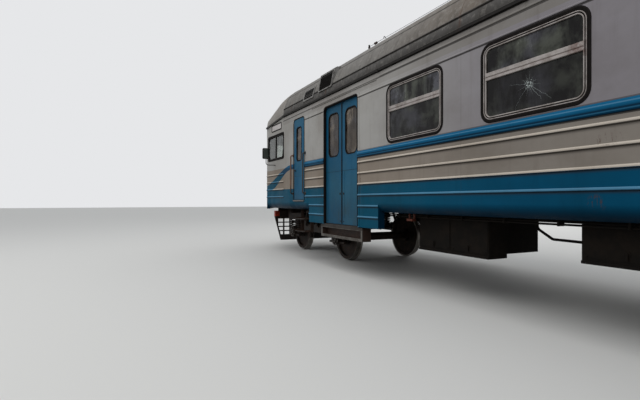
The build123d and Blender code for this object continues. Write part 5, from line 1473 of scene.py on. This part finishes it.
# columns: x of the back, faces both ways, inner edge
for x, both_ways, y0 in [(1.115 - 1.840 * i, True, 0.285) for i in range(5)] + [(2.725, False, 0.435)]:
    for sy in (-1, 1):
        middle_y = sy * (y0 + BENCH_OUTER) / 2
        wide = BENCH_OUTER - y0
        ya, yb = sorted((sy * (y0 + 0.02), sy * 1.640))
        for way in ((-1, 1) if both_ways else (-1,)):
            for dx, z, long, thick, crown, tilt in (
                (0.262, 0.385, 0.425, 0.080, 0.010, 0), (0.056, 0.790, 0.560, 0.050, 0.008, 90),
            ):
                crowned_pad(bm_pad, (x + way * dx, middle_y, FLOOR + z), (long, wide, thick), crown,
                            tilt - way * 2)
            bar(bm_frame, (x + way * 0.06, ya, FLOOR + 0.318), (x + way * 0.455, yb, FLOOR + 0.342))
            for y in (ya + 0.06, yb - 0.06):
                bar(bm_frame, (x + way * 0.30, y - 0.015, FLOOR + 0.001),
                    (x + way * 0.33, y + 0.015, FLOOR + 0.330))
        ya, yb = sorted((sy * y0, sy * 1.650))
        bar(bm_frame, (x - 0.014, ya, FLOOR + 0.001), (x + 0.014, yb, FLOOR + 1.080))
        tube(bm_frame, [(x, ya + dy, FLOOR + z) for dy, z in (
            (0.02, 1.070), (0.02, 1.105), (0.16, 1.105), (0.16, 1.070))], 0.011)
pads = finished(bm_pad, "bench_pads", vinyl, angle=50)
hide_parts("seats")
finished(bm_frame, "bench_frames", plain_steel)
print("bench pads", len(pads.data.polygons), "faces")

# %% [markdown]
# ## Cab
# Through the windows shows a steel desk with a sloped panel of round gauges, all blank, and two
# seats on pedestals. Their pads are foam under vinyl, made as the benches' pads are.

# %% Cab seats and their stands
pedestal = [(0, 0.190), (0.012, 0.190), (0.022, 0.170), (0.035, 0.050), (0.240, 0.046),
            (0.242, 0.060), (0.420, 0.060), (0.424, 0.120), (0.434, 0.120)]
bm_pad, bm_stand = bmesh.new(), bmesh.new()
for y in (-0.650, 0.650):
    crowned_pad(bm_pad, (7.735, y, FLOOR + 0.480), (0.440, 0.460, 0.085), 0.012, -2)
    crowned_pad(bm_pad, (7.512, y, FLOOR + 0.780), (0.500, 0.440, 0.055), 0.010, 96)
    turned(bm_stand, (7.700, y, FLOOR + 0.001), (0, 0, 1), pedestal, 24)
    bar(bm_stand, (7.520, y - 0.190, FLOOR + 0.424), (7.930, y + 0.190, FLOOR + 0.442), 0.006)
    for dy in (-0.130, 0.130):
        tube(bm_stand, [(x, y + dy, FLOOR + z) for x, z in (
            (7.620, 0.430), (7.520, 0.432), (7.486, 0.470), (7.470, 0.900))], 0.012)
cab_pads = finished(bm_pad, "cab_seat_pads", vinyl, angle=50)
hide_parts("cab_fittings")
finished(bm_stand, "cab_seat_stands", plain_steel)

# %% Desk and controls
side_view = [(8.600, 0.0), (9.245, 0.0), (9.245, 0.770), (9.200, 0.779), (8.820, 0.779),
             (8.500, 0.704), (8.482, 0.692), (8.482, 0.650), (8.496, 0.639), (8.620, 0.620),
             (8.640, 0.600), (8.640, 0.110), (8.600, 0.100)]
gauge_rim = [(-0.01, 0.056), (0.014, 0.056), (0.018, 0.050), (0.012, 0.046), (0.006, 0.044)]
lever_boss = [(-0.01, 0.020), (0.050, 0.016), (0.056, 0.030), (0.075, 0.030), (0.082, 0.020)]
bm = bmesh.new()
slab(bm, [(x, FLOOR + 0.001 + z) for x, z in side_view], -0.990, 0.990)
for y in (-0.500, 0.0, 0.500):
    bar(bm, (8.632, y - 0.225, FLOOR + 0.150), (8.644, y + 0.225, FLOOR + 0.580), 0.004)
finished(bm, "cab_desk", desk_paint, angle=30)
bm = bmesh.new()
square_to_panel = Vector((-0.228, 0, 0.974))
for y in (-0.720, -0.580, 0.420, 0.560, 0.700, 0.840):
    turned(bm, (8.720, y, FLOOR + 0.756), square_to_panel, gauge_rim, 24)
for y in (0.300, -0.300):
    turned(bm, (8.640, y, FLOOR + 0.738), square_to_panel, lever_boss, 16)
    tube(bm, [(8.624, y, FLOOR + 0.806), (8.600, y + 0.05, FLOOR + 0.822),
              (8.580, y + 0.12, FLOOR + 0.824)], 0.009)
for i in range(8):
    y = -0.230 + 0.060 * i
    bar(bm, (8.540, y, FLOOR + 0.708), (8.562, y + 0.025, FLOOR + 0.734))
finished(bm, "cab_desk_controls", plain_steel)
print("cab pads", len(cab_pads.data.polygons), "faces")

# %% Luggage racks over the windows
bm = bmesh.new()
for sy in (-1, 1):
    for y in (1.30, 1.38, 1.46, 1.54):
        tube(bm, [(-6.90, sy * y, RAIL + 3.140), (2.70, sy * y, RAIL + 3.140)], 0.009, 6)
    for i in range(11):
        tube(bm, [(-6.85 + 0.95 * i, sy * y, RAIL + z) for y, z in (
            (1.655, 3.02), (1.60, 3.115), (1.29, 3.128), (1.28, 3.160))], 0.011, 6)
finished(bm, "luggage_racks", plain_steel)

# %% Measure the bounds of what is shown
low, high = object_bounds()
